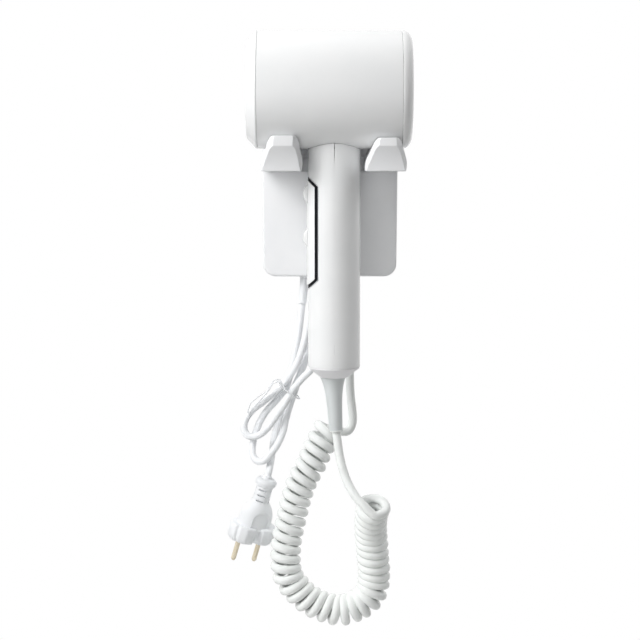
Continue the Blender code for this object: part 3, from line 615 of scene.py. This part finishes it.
def helix_points():
    """Points of the curly cord's left-handed turns, each with its share of the way along the coil."""
    axis = smooth_path(CURLY_COIL_ROUTE, 0.0005)
    spots = frames_along(axis, HELIX_START)
    total = length_of(axis)
    step = total / (len(axis) - 1)
    phases, phase = [0.0], 0.0
    for index in range(1, len(axis)):
        share = index / (len(axis) - 1)
        phase += 2 * math.pi * step / pitch_at(share)
        phases.append(phase)
    end_at, _, normal, binormal = spots[-1]
    wanted = Vector(CURLY_RETURN_ROUTE[0]) * MM - end_at
    last = math.atan2(-wanted.dot(binormal), wanted.dot(normal))
    turns = round((phase - last) / (2 * math.pi))
    stretch = (2 * math.pi * turns + last) / phase
    points, shares, next_phase = [], [], 0.0
    for index, (at, _, normal, binormal) in enumerate(spots):
        turn = phases[index] * stretch
        if turn < next_phase:
            continue
        next_phase += 2 * math.pi / HELIX_STEPS
        share = index / (len(spots) - 1)
        radius = COIL_MEAN_R + COIL_WIDER * (1 - eased(share, 0.25, 0.50))
        radius += COIL_WIDER * (1 - eased(share, 0.0, 0.04))
        points.append(at + radius * (normal * math.cos(turn) - binormal * math.sin(turn)))
        shares.append(share)
    return points, shares


def pitch_at(share):
    """The coil's pitch: tight on the right, then more open round the bottom and up the left."""
    ease = min(1.0, max(0.0, (share - 0.28) / 0.14))
    return PITCH_RIGHT + (PITCH_LEFT - PITCH_RIGHT) * ease


def curly_cord():
    """Lead, coil and return as one tube. The coil's share of the dryer's motion falls evenly along it."""
    coil, shares = helix_points()
    lead = smooth_path(CURLY_LEAD_ROUTE, 0.0040)[:-2]
    back = smooth_path(CURLY_RETURN_ROUTE, 0.0040)[1:]
    knots = lead + coil + back
    hold = [1.0] * len(lead) + [1.0 - share for share in shares] + [0.0] * len(back)
    girth = [CURLY_R] * len(lead) + [CURLY_R + COIL_PLUMPER] * len(coil) + [CURLY_R] * len(back)
    path, weights, radii = [], [], []
    for index in range(len(knots) - 1):
        around = [knots[max(0, min(len(knots) - 1, index + offset))] for offset in (-1, 0, 1, 2)]
        for step in range(2):
            t = step / 2
            path.append(spline_point(around, t))
            weights.append(hold[index] + (hold[index + 1] - hold[index]) * t)
            radii.append(girth[index] + (girth[index + 1] - girth[index]) * t)
    path.append(knots[-1])
    weights.append(hold[-1])
    radii.append(girth[-1])
    sides = 16
    mesh = tube(path, radii, sides)
    replaced = ("curly_lead", "curly_coil", "curly_return")
    cord = piece("curly_cord", mesh, CURLY_WHITE, None, "curly_white", *replaced, crisp=60)
    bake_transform(cord, "wall_unit", "dryer", start=path[-1], end=path[0])
    share_of = mesh.attributes["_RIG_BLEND"]
    share_of.data.foreach_set("value", [weight for weight in weights for _ in range(sides)])


def spline_point(around, t):
    """A point of the uniform Catmull-Rom curve through four knots."""
    p0, p1, p2, p3 = around
    square, cube = 2 * p0 - 5 * p1 + 4 * p2 - p3, 3 * p1 - p0 - 3 * p2 + p3
    return 0.5 * (2 * p1 + (p2 - p0) * t + square * t * t + cube * t**3)


# ---------------- plug and tie

def plug_pose():
    pose = Matrix.Rotation(PLUG_LEAN, 4, "Y") @ Matrix.Rotation(PLUG_PITCH, 4, "X")
    return Matrix.Translation(PLUG_TOP) @ pose @ Matrix.Rotation(PLUG_TWIST, 4, "Z")


def eased(value, start, end):
    t = min(1.0, max(0.0, (value - start) / (end - start)))
    return t * t * (3 - 2 * t)


def plug_body():
    """Mushroom collar, slotted neck, swelling grip with a pad on both flats, and contour base."""
    neck = soften(
        [
            (0.0, 0.0034, 0), (0.0034, 0.0034, 0.0006), (0.0037, 0.0008, 0.0008), (0.0068, 0.0008, 0.0012),
            (0.0090, -0.0014, 0.0014), (0.0080, -0.0044, 0.0014), (0.0066, -0.0056, 0.0006),
            (0.0070, -0.0195, 0.0010), (0.0050, -0.0225, 0), (0.0, -0.0225, 0),
        ],
        0.001, closed=False,
    )
    half, high = 0.0033, 0.0007
    slot_outline = soften([(-half, -high), (half, -high), (half, high), (-half, high)], 0.0005)
    slots = []
    for level in range(3):
        z = -0.0080 - 0.0046 * level
        for quarter in range(4):
            slot = extruded(slot_outline, -0.0080, -0.0042)
            turn = math.pi / 2 * quarter - PLUG_TWIST * 1.2
            slot.transform(Matrix.Translation((0, 0, z)) @ Matrix.Rotation(turn, 4, "Z"))
            slots.append(slot)
    stem = carved(lathe(neck, steps=72), joined(*slots))
    mesh = joined(stem, plug_grip(), plug_base())
    mesh.transform(plug_pose())
    return piece("plug_moulding", mesh, PLUG_WHITE_PAINTED_SHADE, "wall_unit", "cord_white", "plug_body", crisp=38)


# Height, half width, half depth
GRIP_SECTIONS = [
    (-0.0188, 0.0072, 0.0070), (-0.0205, 0.0086, 0.0080), (-0.0230, 0.0105, 0.0092),
    (-0.0260, 0.0122, 0.0102), (-0.0300, 0.0134, 0.0109), (-0.0350, 0.0139, 0.0113),
    (-0.0400, 0.0140, 0.0114), (-0.0418, 0.0134, 0.0110),
]


def plug_grip():
    """The swelling body. An arch-shaped pad is pressed into each flat side."""
    rows = smooth_path(GRIP_SECTIONS, 0.0006, scale=1.0)
    loops = []
    for z, wide, deep in rows:
        loop = []
        for side in range(144):
            turn = 2 * math.pi * side / 144
            x, y = wide * math.cos(turn), deep * math.sin(turn)
            arch = math.hypot(x / 0.0075, max(0.0, z + 0.0335) / 0.0080)
            pad = (1.0 - eased(arch, 0.86, 1.0)) * eased(z, -0.0408, -0.0398)
            loop.append((x, y - math.copysign(0.0011, y) * pad, z))
        loops.append(loop)
    return loft(loops)


def plug_base():
    """The contour base: two lobes with a notch between them on both flat sides, and a tab at each end."""
    front = [
        (0.0012, -0.0092, 0.0010), (0.0036, -0.0127, 0.0018), (0.0110, -0.0127, 0.0040),
        (0.0158, -0.0090, 0.0016), (0.0166, -0.0064, 0.0006), (0.0188, -0.0056, 0.0020),
        (0.0197, 0.0, 0.0030),
    ]
    right = front + [(x, -y, r) for x, y, r in reversed(front[:-1])]
    outline = right + [(-x, y, r) for x, y, r in reversed(right)]
    round_outline = [Vector(p) for p in soften(outline, 0.001)]
    loops = []
    levels = (
        (-0.0392, 0.0016), (-0.0396, 0.0006), (-0.0406, 0.0), (-0.0490, 0.0),
        (-0.0498, 0.0003), (-0.0524, 0.0012), (-0.0530, 0.0018),
    )
    for z, inset in levels:
        loops.append([(*(p * (1 - inset / p.length)), z) for p in round_outline])
    return loft(loops)


def plug_pins():
    """Two round pins with a domed tip."""
    pins = []
    for name, side in (("left", -1), ("right", 1)):
        profile = [
            (0.0, -0.0533, 0), (PIN_R, -0.0533, 0), (PIN_R, -0.0705, 0.0008),
            (0.0011, -0.0722, 0.0008), (0.0, -0.0723, 0),
        ]
        mesh = lathe(soften(profile, 0.0005, closed=False), steps=40)
        mesh.transform(plug_pose() @ Matrix.Translation((side * PIN_SPACING / 2, 0.0, 0.0)))
        pins.append(piece(f"plug_contact_{name}", mesh, BRASS, "wall_unit", "brass", f"plug_pin_{name}"))
    return pins


TIE_CENTRE = Vector((-0.0334, -0.0136, -0.1620))
TIE_ACROSS = Vector((0.80, 0.0, -0.60))
TIE_KNOT = Vector((-0.0400, -0.0268, -0.1530))
TIE_R = 0.00055


def twist_tie():
    """A thin wire round the folded cord, twisted together in front, with two loose tails."""
    ring = []
    for step in range(48):
        turn = 2 * math.pi * step / 48
        across, out = TIE_ACROSS * (0.0115 * math.cos(turn)), Vector((0, 0.0124 * math.sin(turn), 0))
        ring.append(TIE_CENTRE + across + out)
    band = tube(ring, TIE_R, 8, cyclic=True)
    strands = []
    start, end = TIE_CENTRE + Vector((-0.0025, -0.0122, 0.0015)), TIE_KNOT
    for side in (0.0, math.pi):
        points = []
        for step in range(33):
            share = step / 32
            turn = side + share * 5 * math.pi
            away = Vector((0.8 * math.cos(turn), 0.6 * math.sin(turn), 0.6 * math.cos(turn))) * 0.00085
            points.append(start.lerp(end, share) + away)
        spread = 0.0016 if side else -0.0002
        tail = [
            points[-1] + Vector((-0.004, -0.0005, -0.001 + spread)),
            Vector((-0.0505, -0.0215, -0.1630 + spread)),
            Vector((-0.0600 - spread * 2, -0.0214, -0.1732 + spread)),
        ]
        if side:
            tail.append(Vector((-0.0660, -0.0212, -0.1800)))
        strands.append(tube(smooth_path(points + tail, 0.0007, scale=1.0), TIE_R, 8))
    mesh = joined(band, *strands)
    return piece("tie_wire", mesh, CORD_WHITE, "wall_unit", "cord_white", "twist_tie", crisp=60)


# ---------------- wall unit

def cord_glands():
    """Rubber bushings under the wall unit, each with a collar against the cover and a tapered sleeve."""
    for name, exit_at, cord_r, long, tilt, mat, slot in (
        ("mains", MAINS_EXIT, MAINS_R, 0.0225, MAINS_EXIT_TILT, CORD_WHITE, "cord_white"),
        ("curly", CURLY_EXIT, CURLY_R, 0.0145, 0.0, CURLY_WHITE, "curly_white"),
    ):
        outline = [
            (0.0, 0.0048, 0), (0.0060, 0.0048, 0.0004), (0.0060, 0.0034, 0), (0.0050, 0.0034, 0),
            (0.0050, 0.0002, 0), (0.0054, 0.0002, 0.0003), (0.0054, -0.0010, 0.0005),
            (cord_r + 0.0007, -0.0014, 0.0005), (cord_r + 0.0003, -long, 0.0002), (0.0, -long, 0),
        ]
        mesh = lathe(soften(outline, 0.0004, closed=False), steps=64)
        mesh.transform(Matrix.Translation(exit_at) @ Matrix.Rotation(tilt, 4, "Y"))
        piece(f"{name}_bushing", mesh, mat, "wall_unit", slot, f"{name}_gland")


def cover_depth(z):
    """How far the cover's front stands out at a height: deep below, then a short ramp to the thin plate."""
    ramp_foot, ramp_head = STEP_Z, 0.0245
    lip = 0.0014
    if z <= ramp_foot:
        fall = max(0.0, (z - (ramp_foot - lip)) / lip)
        return PLATE_DEPTH - lip * (1 - math.sqrt(max(0.0, 1 - fall * fall)))
    share = min(1.0, (z - ramp_foot) / (ramp_head - ramp_foot))
    return (PLATE_DEPTH - lip) + (STEP_DEPTH - PLATE_DEPTH + lip) * (share ** 0.8)


def wall_cover():
    """The front shell, a little narrower at its foot, with rounded corners and edges."""
    edge = 0.0015
    corner = CORNER_R
    levels = []
    steps = 9
    for step in range(steps + 1):
        turn = math.pi / 2 * step / steps
        levels.append((PLATE_FOOT + corner * (1 - math.cos(turn)), corner * (1 - math.sin(turn))))
    levels += [(PLATE_FOOT + corner + 0.006 * step, 0.0) for step in range(1, 12)]
    levels += [(STEP_Z - 0.0014 * (1 - step / 5), 0.0) for step in range(6)]
    levels += [(STEP_Z + 0.0105 * step / 10, 0.0) for step in range(1, 11)]
    levels += [(0.0300, 0.0), (0.0430, 0.0)]
    for step in range(steps + 1):
        turn = math.pi / 2 * (1 - step / steps)
        levels.append((PLATE_TOP - corner * (1 - math.cos(turn)), corner * (1 - math.sin(turn))))
    bm = bmesh.new()
    rows = []
    for z, inset in levels:
        half = PLATE_HALF - 0.0008 * (STEP_Z - z) / (STEP_Z - PLATE_FOOT) - inset
        from_end = min(z - PLATE_FOOT, PLATE_TOP - z)
        dip = edge * (1 - math.sqrt(max(0.0, 1 - (1 - min(1.0, from_end / edge)) ** 2)))
        depth = cover_depth(z) - dip
        row = [(-half, -GAP), (-half, -(depth - edge) * 0.5)]
        for step in range(6):
            turn = math.pi / 2 * step / 5
            row.append((-half + edge * (1 - math.cos(turn)), -(depth - edge) - edge * math.sin(turn)))
        flat = half - edge
        row += [(-flat + 2 * flat * step / 12, -depth) for step in range(1, 12)]
        row += [(-x, y) for x, y in reversed(row[:8])]
        rows.append([bm.verts.new((x, y, z)) for x, y in row])
    for a, b in zip(rows, rows[1:]):
        for i in range(len(a) - 1):
            bm.faces.new((a[i], a[i + 1], b[i + 1], b[i]))
    bm.faces.new(rows[0])
    bm.faces.new(rows[-1][::-1])
    bmesh.ops.remove_doubles(bm, verts=bm.verts, dist=0.00002)
    shell = helper(mesh_of(bm))
    wall = shell.modifiers.new("wall", "SOLIDIFY")
    wall.thickness = COVER_WALL - 0.0004
    wall.offset = -1.0
    mesh = settled(shell)
    piece("wall_front_shell", mesh, PLATE_WHITE, "wall_unit", "plate_white", "wall_cover", crisp=40)


# Height, half width of the body, half width of the front face
ARM_SHAPE = [
    (0.0152, 0.0158, 0.0151), (0.0185, 0.0159, 0.0141), (0.0220, 0.0157, 0.0128), (0.0250, 0.0150, 0.0118),
    (0.0280, 0.0139, 0.0107), (0.0310, 0.0127, 0.0095), (0.0332, 0.0118, 0.0083), (0.0348, 0.0113, 0.0068),
    (0.0365, 0.0108, 0.0065), (0.0390, 0.0098, 0.0064), (0.0412, 0.0086, 0.0061), (0.0427, 0.0073, 0.0055),
]
ARM_SLANT = 0.0020
ARM_BREAK = 0.0348  # height of the edge between the leaning face and the upright tip
ARM_TIPS = {"left": 1.0, "right": 0.80}  # share of the tip's height above that edge
ARM_SPREADS = {"left": 0.22, "right": 0.0}  # how much wider the tip is, as a share
ARM_SHIFTS = {"left": -0.0012, "right": 0.0}


def arm_section(z, half, face_half, back, edge, face):
    """One level of an arm: straight sides, then a bevel on each side of the front face."""
    corners = [(half, back, 0), (half, edge, 0.0010), (face_half, face, 0.0007)]
    corners += [(-x, y, r) for x, y, r in reversed(corners)]
    return [(p[0], p[1], z) for p in soften(corners, 0.001)]


def arm_front(z):
    """The face's Y: it leans forward up to the break, and is upright above it."""
    below = max(0.0, (ARM_BREAK - z) / (ARM_BREAK - ARM_FOOT))
    return ARM_FRONT + 0.0125 * below - 0.0050 * below**2


def cradle_arms():
    """Each arm runs out under the head and ends in a blunt prong, with a bevel beside its leaning face."""
    seat_r, reach = HEAD_R + 0.0004, 0.09
    clearance = lathe([(seat_r, -reach), (seat_r, reach), (0.0, reach), (0.0, -reach)], about_x(), steps=240)
    rows = smooth_path([(half, face_half, z) for z, half, face_half in ARM_SHAPE], 0.0006, scale=1.0)
    for name, centre in ARM_CENTRES.items():
        loops = []
        for half, face_half, level in rows:
            z = min(level, ARM_BREAK) + max(0.0, level - ARM_BREAK) * ARM_TIPS[name]
            rounding = 0.0008
            near_top = max(0.0, level - (rows[-1].z - rounding)) / rounding
            near_foot = max(0.0, (rows[0].z + rounding) - level) / rounding
            inset = rounding * (1 - math.sqrt(max(0.0, 1 - max(near_top, near_foot) ** 2)))
            face = arm_front(z) + inset
            edge = face + 0.0036
            share = (z - ARM_FOOT) / (ARM_SHAPE[-1][0] - ARM_FOOT)
            wider = 1.0 + ARM_SPREADS[name] * share**2
            halves = (half * wider - inset, face_half * wider - inset)
            section = arm_section(z, *halves, -STEP_DEPTH - GAP, edge, face)
            shift = centre + ARM_SHIFTS[name] + ARM_SLANT * share
            loops.append([(x + shift, y, z) for x, y, z in section])
        mesh = carved(loft(loops), clearance.copy())
        node = f"cradle_arm_{name}"
        piece(f"cradle_prong_{name}", mesh, PLATE_WHITE, "wall_unit", "plate_white", node, crisp=38)


# ---------------- head

def head_shell():
    """The sleeve between the two seams, with softened ends."""
    low, high = LEFT_SEAM + 0.0001, RIGHT_SEAM - 0.0001
    inner = HEAD_R - HEAD_WALL
    outline = soften([(HEAD_R, low), (HEAD_R, high), (inner, high), (inner, low)], 0.0003)
    mesh = lathe(outline, about_x(), 240)
    piece("head_sleeve", mesh, GLOSS_WHITE, "dryer", "gloss_white", "barrel_shell")


def intake_cap():
    """The ring round the air intake, with a 45 degree chamfer."""
    seam, face, rim = LEFT_SEAM - 0.0001, HEAD_LEFT, GRILLE_R + GAP
    inner = SPIGOT_R - SPIGOT_WALL
    outline = [
        (SPIGOT_R, LEFT_SEAM + 0.0037, 0.0003), (SPIGOT_R, seam, 0), (HEAD_R, seam, 0.0003),
        (HEAD_R - 0.0002, seam - 0.0012, 0.0012), (CHAMFER_R, face, 0.0018), (rim, face, 0.0006),
        (rim, face + 0.0034, 0), (inner, LEFT_SEAM, 0), (inner, LEFT_SEAM + 0.0037, 0.0003),
    ]
    mesh = lathe(soften(outline, 0.0003), about_x(), 240)
    piece("intake_cap", mesh, GLOSS_WHITE, "dryer", "gloss_white", "rear_cap")


def outlet_cap():
    """The ring round the air outlet, rounded over to its face."""
    seam, face = RIGHT_SEAM + 0.0001, HEAD_RIGHT
    outline = [(HEAD_R - 0.0003, seam), (HEAD_R, seam + 0.0003)]
    for step in range(1, 17):
        turn = math.pi / 2 * step / 16
        radius = MOUTH_R + (HEAD_R - MOUTH_R) * math.cos(turn)
        outline.append((radius, seam + 0.0003 + (face - seam - 0.0003) * math.sin(turn)))
    rim, inner = GRILLE_R + GAP, SPIGOT_R - SPIGOT_WALL
    shelf, spigot = RIGHT_SEAM + 0.0010, RIGHT_SEAM - 0.0037
    outline += [(rim + 0.0005, face), (rim, face - 0.0005), (rim, shelf), (inner, shelf)]
    outline += [(inner, spigot), (SPIGOT_R, spigot), (SPIGOT_R, seam)]
    mesh = lathe(outline, about_x(), 240)
    piece("outlet_cap", mesh, GLOSS_WHITE, "dryer", "gloss_white", "outlet_ring", crisp=40)


def grille(name, start, end, rows, node):
    """A disc with rows of round-ended slots that follow its rim, softened at every edge."""
    disc = lathe([(GRILLE_R, start), (GRILLE_R, end), (0.0, end), (0.0, start)], about_x(), 120)
    pitch = 0.0600 / rows
    slots = []
    for row in range(rows):
        z = (row - (rows - 1) / 2) * pitch
        high = pitch * 0.28
        half = math.sqrt(SLOTS_R**2 - (abs(z) + high) ** 2)
        outline = soften([(-half, -high), (half, -high), (half, high), (-half, high)], high * 0.96, steps=8)
        placed = [(HEAD_AT.y + y, HEAD_AT.z + z + dz) for y, dz in outline]
        slots.append(extruded(placed, start - 0.002, end + 0.002, "X"))
    mesh = bevelled(carved(disc, joined(*slots)), 0.0003, segments=2, over=50)
    piece(name, mesh, DARK_PLASTIC, "dryer", "dark_plastic", node, crisp=40)


# ---------------- handle

def saddle_height(radius, turn):
    """The height at which a point of the handle, at that radius and angle, meets the head."""
    return HEAD_AT.z - math.sqrt((HEAD_R + 0.0002) ** 2 - (radius * math.sin(turn)) ** 2)


def groove_at(z):
    """The parting line's half width: a notch at the top that closes to a hairline."""
    return 0.00003 + 0.00020 * eased(z, NOTCH_FOOT, NOTCH_HEAD)


def handle_half(name, side, *cutters):
    """One half shell: a curved wall from the foot to the saddle under the head."""
    inner = HANDLE_R - HANDLE_WALL
    columns = 72
    edge = 0.010
    turns = [-math.pi / 2, -math.pi / 2 + edge, -math.pi / 2 + 3 * edge]
    turns += [-math.pi / 2 + math.pi * step / columns for step in range(1, columns)]
    turns += [-turn for turn in reversed(turns[:3])]
    loops = []
    for turn in turns:
        near = min(abs(turn - math.pi / 2), abs(turn + math.pi / 2))
        low, mid, top = HANDLE_BOTTOM, NOTCH_FOOT, saddle_height(HANDLE_R, turn)
        outline = [(HANDLE_R, low)]
        outline += [(HANDLE_R, low + (mid - low) * step / 12) for step in range(1, 13)]
        outline += [(HANDLE_R, mid + (top - mid) * step / 8) for step in range(1, 9)]
        outline += [(inner, saddle_height(inner, turn)), (inner, low)]
        loop = []
        for radius, z in soften(outline, 0.00035, steps=4):
            notch = groove_at(z)
            sink = 1.2 * notch if near < edge * 0.5 else 0.0
            x = (radius - sink) * math.cos(turn) if radius > inner + 0.001 else radius * math.cos(turn)
            y = (radius - sink) * math.sin(turn)
            loop.append((side * max(x, notch), y, z))
        loops.append(loop)
    mesh = loft(loops)
    mesh.transform(on_handle())
    if cutters:
        mesh = carved(mesh, *cutters)
    node = f"handle_shell_{name}"
    piece(f"handle_half_{name}", mesh, GLOSS_WHITE, "dryer", "gloss_white", node, crisp=40)


def window_sides(inset):
    """The window's back, and where its two slanting ends cross the handle's axis, all moved in by inset."""
    top = PANEL_TOP + PANEL_BACK - inset * math.sqrt(2.0)
    foot = PANEL_FOOT - PANEL_BACK + inset * math.sqrt(2.0)
    return PANEL_BACK - inset, top, foot


def window_outline(inset):
    """The window's trapezoid in (x, z); its open side is past the handle."""
    back, top, foot = window_sides(inset)
    outer = -0.0300
    corners = [(back, top - back), (outer, top - outer), (outer, foot + outer), (back, foot + back)]
    return [(HANDLE_X + x, z) for x, z in corners]


def window_loop(inset, radius):
    """The edge of the window on a cylinder of that radius, all the way round."""
    back, top, foot = window_sides(inset)
    wide = math.acos(-back / radius)
    path = []
    for side, order in ((-1, 1), (1, -1)):
        y = side * math.sqrt(radius**2 - back**2)
        ends = (top - back, foot + back)[::order]
        path += [(back, y, ends[0] + (ends[1] - ends[0]) * step / 14) for step in range(15)]
        for step in range(1, 32):
            turn = side * wide * (1 - 2 * step / 32)
            x = -radius * math.cos(turn)
            z = foot + x if side < 0 else top - x
            path.append((x, radius * math.sin(turn), z))
    return [Vector((HANDLE_X + x, HEAD_AT.y + y, z)) for x, y, z in path]


def window_frame(name, first, last, top, bottom, mat, slot, *replaced):
    """A band that follows the window's edge, between two insets, with softened corners."""
    soft = 0.00012
    loops = [
        window_loop(first, bottom), window_loop(first, top - soft), window_loop(first + soft, top),
        window_loop(last - soft, top), window_loop(last, top - soft), window_loop(last, bottom),
    ]
    return piece(name, loft(loops, cyclic=True), mat, "dryer", slot, *replaced, crisp=60)


def panel_trim():
    """A bright chrome lip on the outside, and inside it a black band round the panel: painted reflection,
    for the dark room mirrored in the chrome trim.
    """
    lip = (0.0002 - TRIM_REACH, 0.0006 - TRIM_REACH, HANDLE_R + 0.00025, TRIM_FOOT_R)
    window_frame("panel_bright_lip", *lip, CHROME, "chrome", "panel_trim")
    # Painted reflection: a black band for the dark part of the chrome trim's mirror image.
    painted_reflection_band = (0.00063 - TRIM_REACH, PANEL_INSET, HANDLE_R - 0.0001, TRIM_FOOT_R)
    window_frame("panel_painted_reflection_band", *painted_reflection_band, CHROME_DARK_REFLECTION, "chrome")


def switch_panel():
    """The white panel inside the trim, with a slot for each knob's travel."""
    rows, soft = [], 0.0004
    low_r, top_r = 0.0176, PANEL_R
    levels = ((low_r, 0.0), (top_r - soft, 0.0), (top_r - soft * 0.3, soft * 0.3), (top_r, soft))
    for turn_share in range(49):
        share = 1 - 2 * turn_share / 48
        row = []
        for radius, draw in levels:
            back, top, foot = window_sides(PANEL_INSET + draw)
            turn = math.acos(-back / radius) * share
            x = -radius * math.cos(turn)
            row.append((x, radius * math.sin(turn), top - x, foot + x))
        rim = [(x, y, z) for x, y, z, _ in row]
        x, y, high, low = row[-1]
        face = [(x, y, high + (low - high) * step / 40) for step in range(1, 40)]
        foot = [(x, y, z) for x, y, _, z in reversed(row)]
        rows.append(rim + face + foot)
    mesh = loft([[Vector(p) for p in row] for row in rows])
    mesh.transform(on_handle())
    slots = []
    for z in KNOB_HEIGHTS.values():
        low, high = z - KNOB_TRAVEL - 0.0024, z + 0.0024
        outline = soften([(-0.0016, low), (0.0016, low), (0.0016, high), (-0.0016, high)], 0.0015)
        placed = [(HEAD_AT.y + y, h) for y, h in outline]
        slots.append(extruded(placed, HANDLE_X - 0.03, HANDLE_X - 0.0178, "X"))
    mesh = carved(mesh, joined(*slots))
    piece("switch_panel_face", mesh, GLOSS_WHITE, "dryer", "gloss_white", "switch_panel", crisp=40)


def knobs():
    """Two lens-shaped sliders that follow the panel's curve, each with five fine grip ribs and a stem."""
    for name, z in KNOB_HEIGHTS.items():
        base = PANEL_R + 0.00015
        half_turn = KNOB_WIDTH / 2 / base
        loops = []
        count = 40
        for column in range(count + 1):
            across = -1 + 2 * column / count
            edge = math.sqrt(max(0.0, 1 - abs(across) ** 6))
            top, bottom = [], []
            for row in range(61):
                along = -1 + 2 * row / 60
                half = KNOB_LENGTH / 2 * (0.80 + 0.20 * edge)
                rise = KNOB_RISE * (1 - abs(along) ** 2.2) * edge
                rib = 0.00010 * math.cos(along * 30.0) * (1 - eased(abs(along), 0.30, 0.40)) * edge
                turn = across * half_turn
                for radius, row_of in ((base + 0.0003 * edge + rise + rib, top), (base, bottom)):
                    row_of.append((-radius * math.cos(turn), radius * math.sin(turn), z + half * along))
            loops.append(top + bottom[::-1])
        dome = loft(loops)
        dome.transform(on_handle())
        near, far, low, high = HEAD_AT.y - 0.0012, HEAD_AT.y + 0.0012, z - 0.0020, z + 0.0020
        outline = [(near, low), (far, low), (far, high), (near, high)]
        stem = extruded(outline, HANDLE_X - 0.0213, HANDLE_X - 0.0100, "X")
        body = f"{name}_knob"
        piece(f"{name}_slider", joined(dome, stem), GLOSS_WHITE, body, "gloss_white", body, crisp=50)


def handle_foot():
    """The conical end cap, and below it the satin boot with its thin end lip."""
    rim = HANDLE_BOTTOM - 0.0001
    outline = [
        (0.0176, HANDLE_BOTTOM + 0.006, 0), (0.0176, rim, 0), (HANDLE_R - 0.0002, rim, 0.0002),
        (HANDLE_R - 0.0003, rim - 0.0010, 0.0004), (CAP_BOTTOM_R + 0.0008, CAP_BOTTOM, 0.0005),
        (0.0076, CAP_BOTTOM, 0.0003), (0.0076, CAP_BOTTOM + 0.0030, 0), (0.0150, rim - 0.0010, 0),
        (0.0150, HANDLE_BOTTOM + 0.006, 0),
    ]
    mesh = lathe(soften(outline, 0.0002), on_handle(), 200)
    piece("handle_foot_cap", mesh, CAP_WHITE, "dryer", "cap_white", "handle_end_cap")

    top = Matrix.Translation((HANDLE_X - 0.0007, HEAD_AT.y, CAP_BOTTOM + 0.0002))
    at = top @ Matrix.Rotation(RELIEF_TILT, 4, "Y")
    profile = [(0.0, 0.0060), (0.0070, 0.0060), (0.0070, 0.0)]
    long = RELIEF_LENGTH + 0.0006
    for step in range(33):
        down = step / 32
        radius = 0.0053 + 0.0014 * (1 - down) + 0.0034 * (1 - down) ** 5
        profile.append((radius, -long * 0.975 * down))
    profile += [(0.0049, -long * 0.980), (0.0, -long * 0.985)]
    mesh = lathe(profile, at, 96)
    piece("relief_boot", mesh, RELIEF_GREY, "dryer", "relief_grey", "strain_relief", crisp=45)
    lip_top, lip_foot = -long * 0.978, -long - 0.0012
    lip = [
        (0.0, lip_top), (0.0056, lip_top), (0.0056, -long), (CURLY_R + 0.0006, -long),
        (CURLY_R + 0.0003, lip_foot), (0.0, lip_foot),
    ]
    piece("relief_lip", lathe(soften(lip, 0.0003), at, 96), CURLY_WHITE, "dryer", "relief_grey")


# ---------------- assembly

camera()
studio()
floor(FLOOR_PALE)
finish_nodes()
plug = plug_body()
pins = plug_pins()
tie = twist_tie()
mains_cord()
curly_cord()
cord_glands()
wall_cover()
cradle_arms()
head_shell()
intake_cap()
outlet_cap()
grille("intake_grille_disc", HEAD_LEFT + 0.0008, HEAD_LEFT + 0.0024, 9, "intake_grille")
grille("outlet_grille_disc", RIGHT_SEAM + 0.0013, RIGHT_SEAM + 0.0028, 7, "outlet_grille")
handle_half("right", 1)
handle_half("left", -1, extruded(window_outline(-TRIM_REACH), HEAD_AT.y - 0.03, HEAD_AT.y + 0.03))
panel_trim()
switch_panel()
knobs()
handle_foot()

bpy.context.view_layer.update()
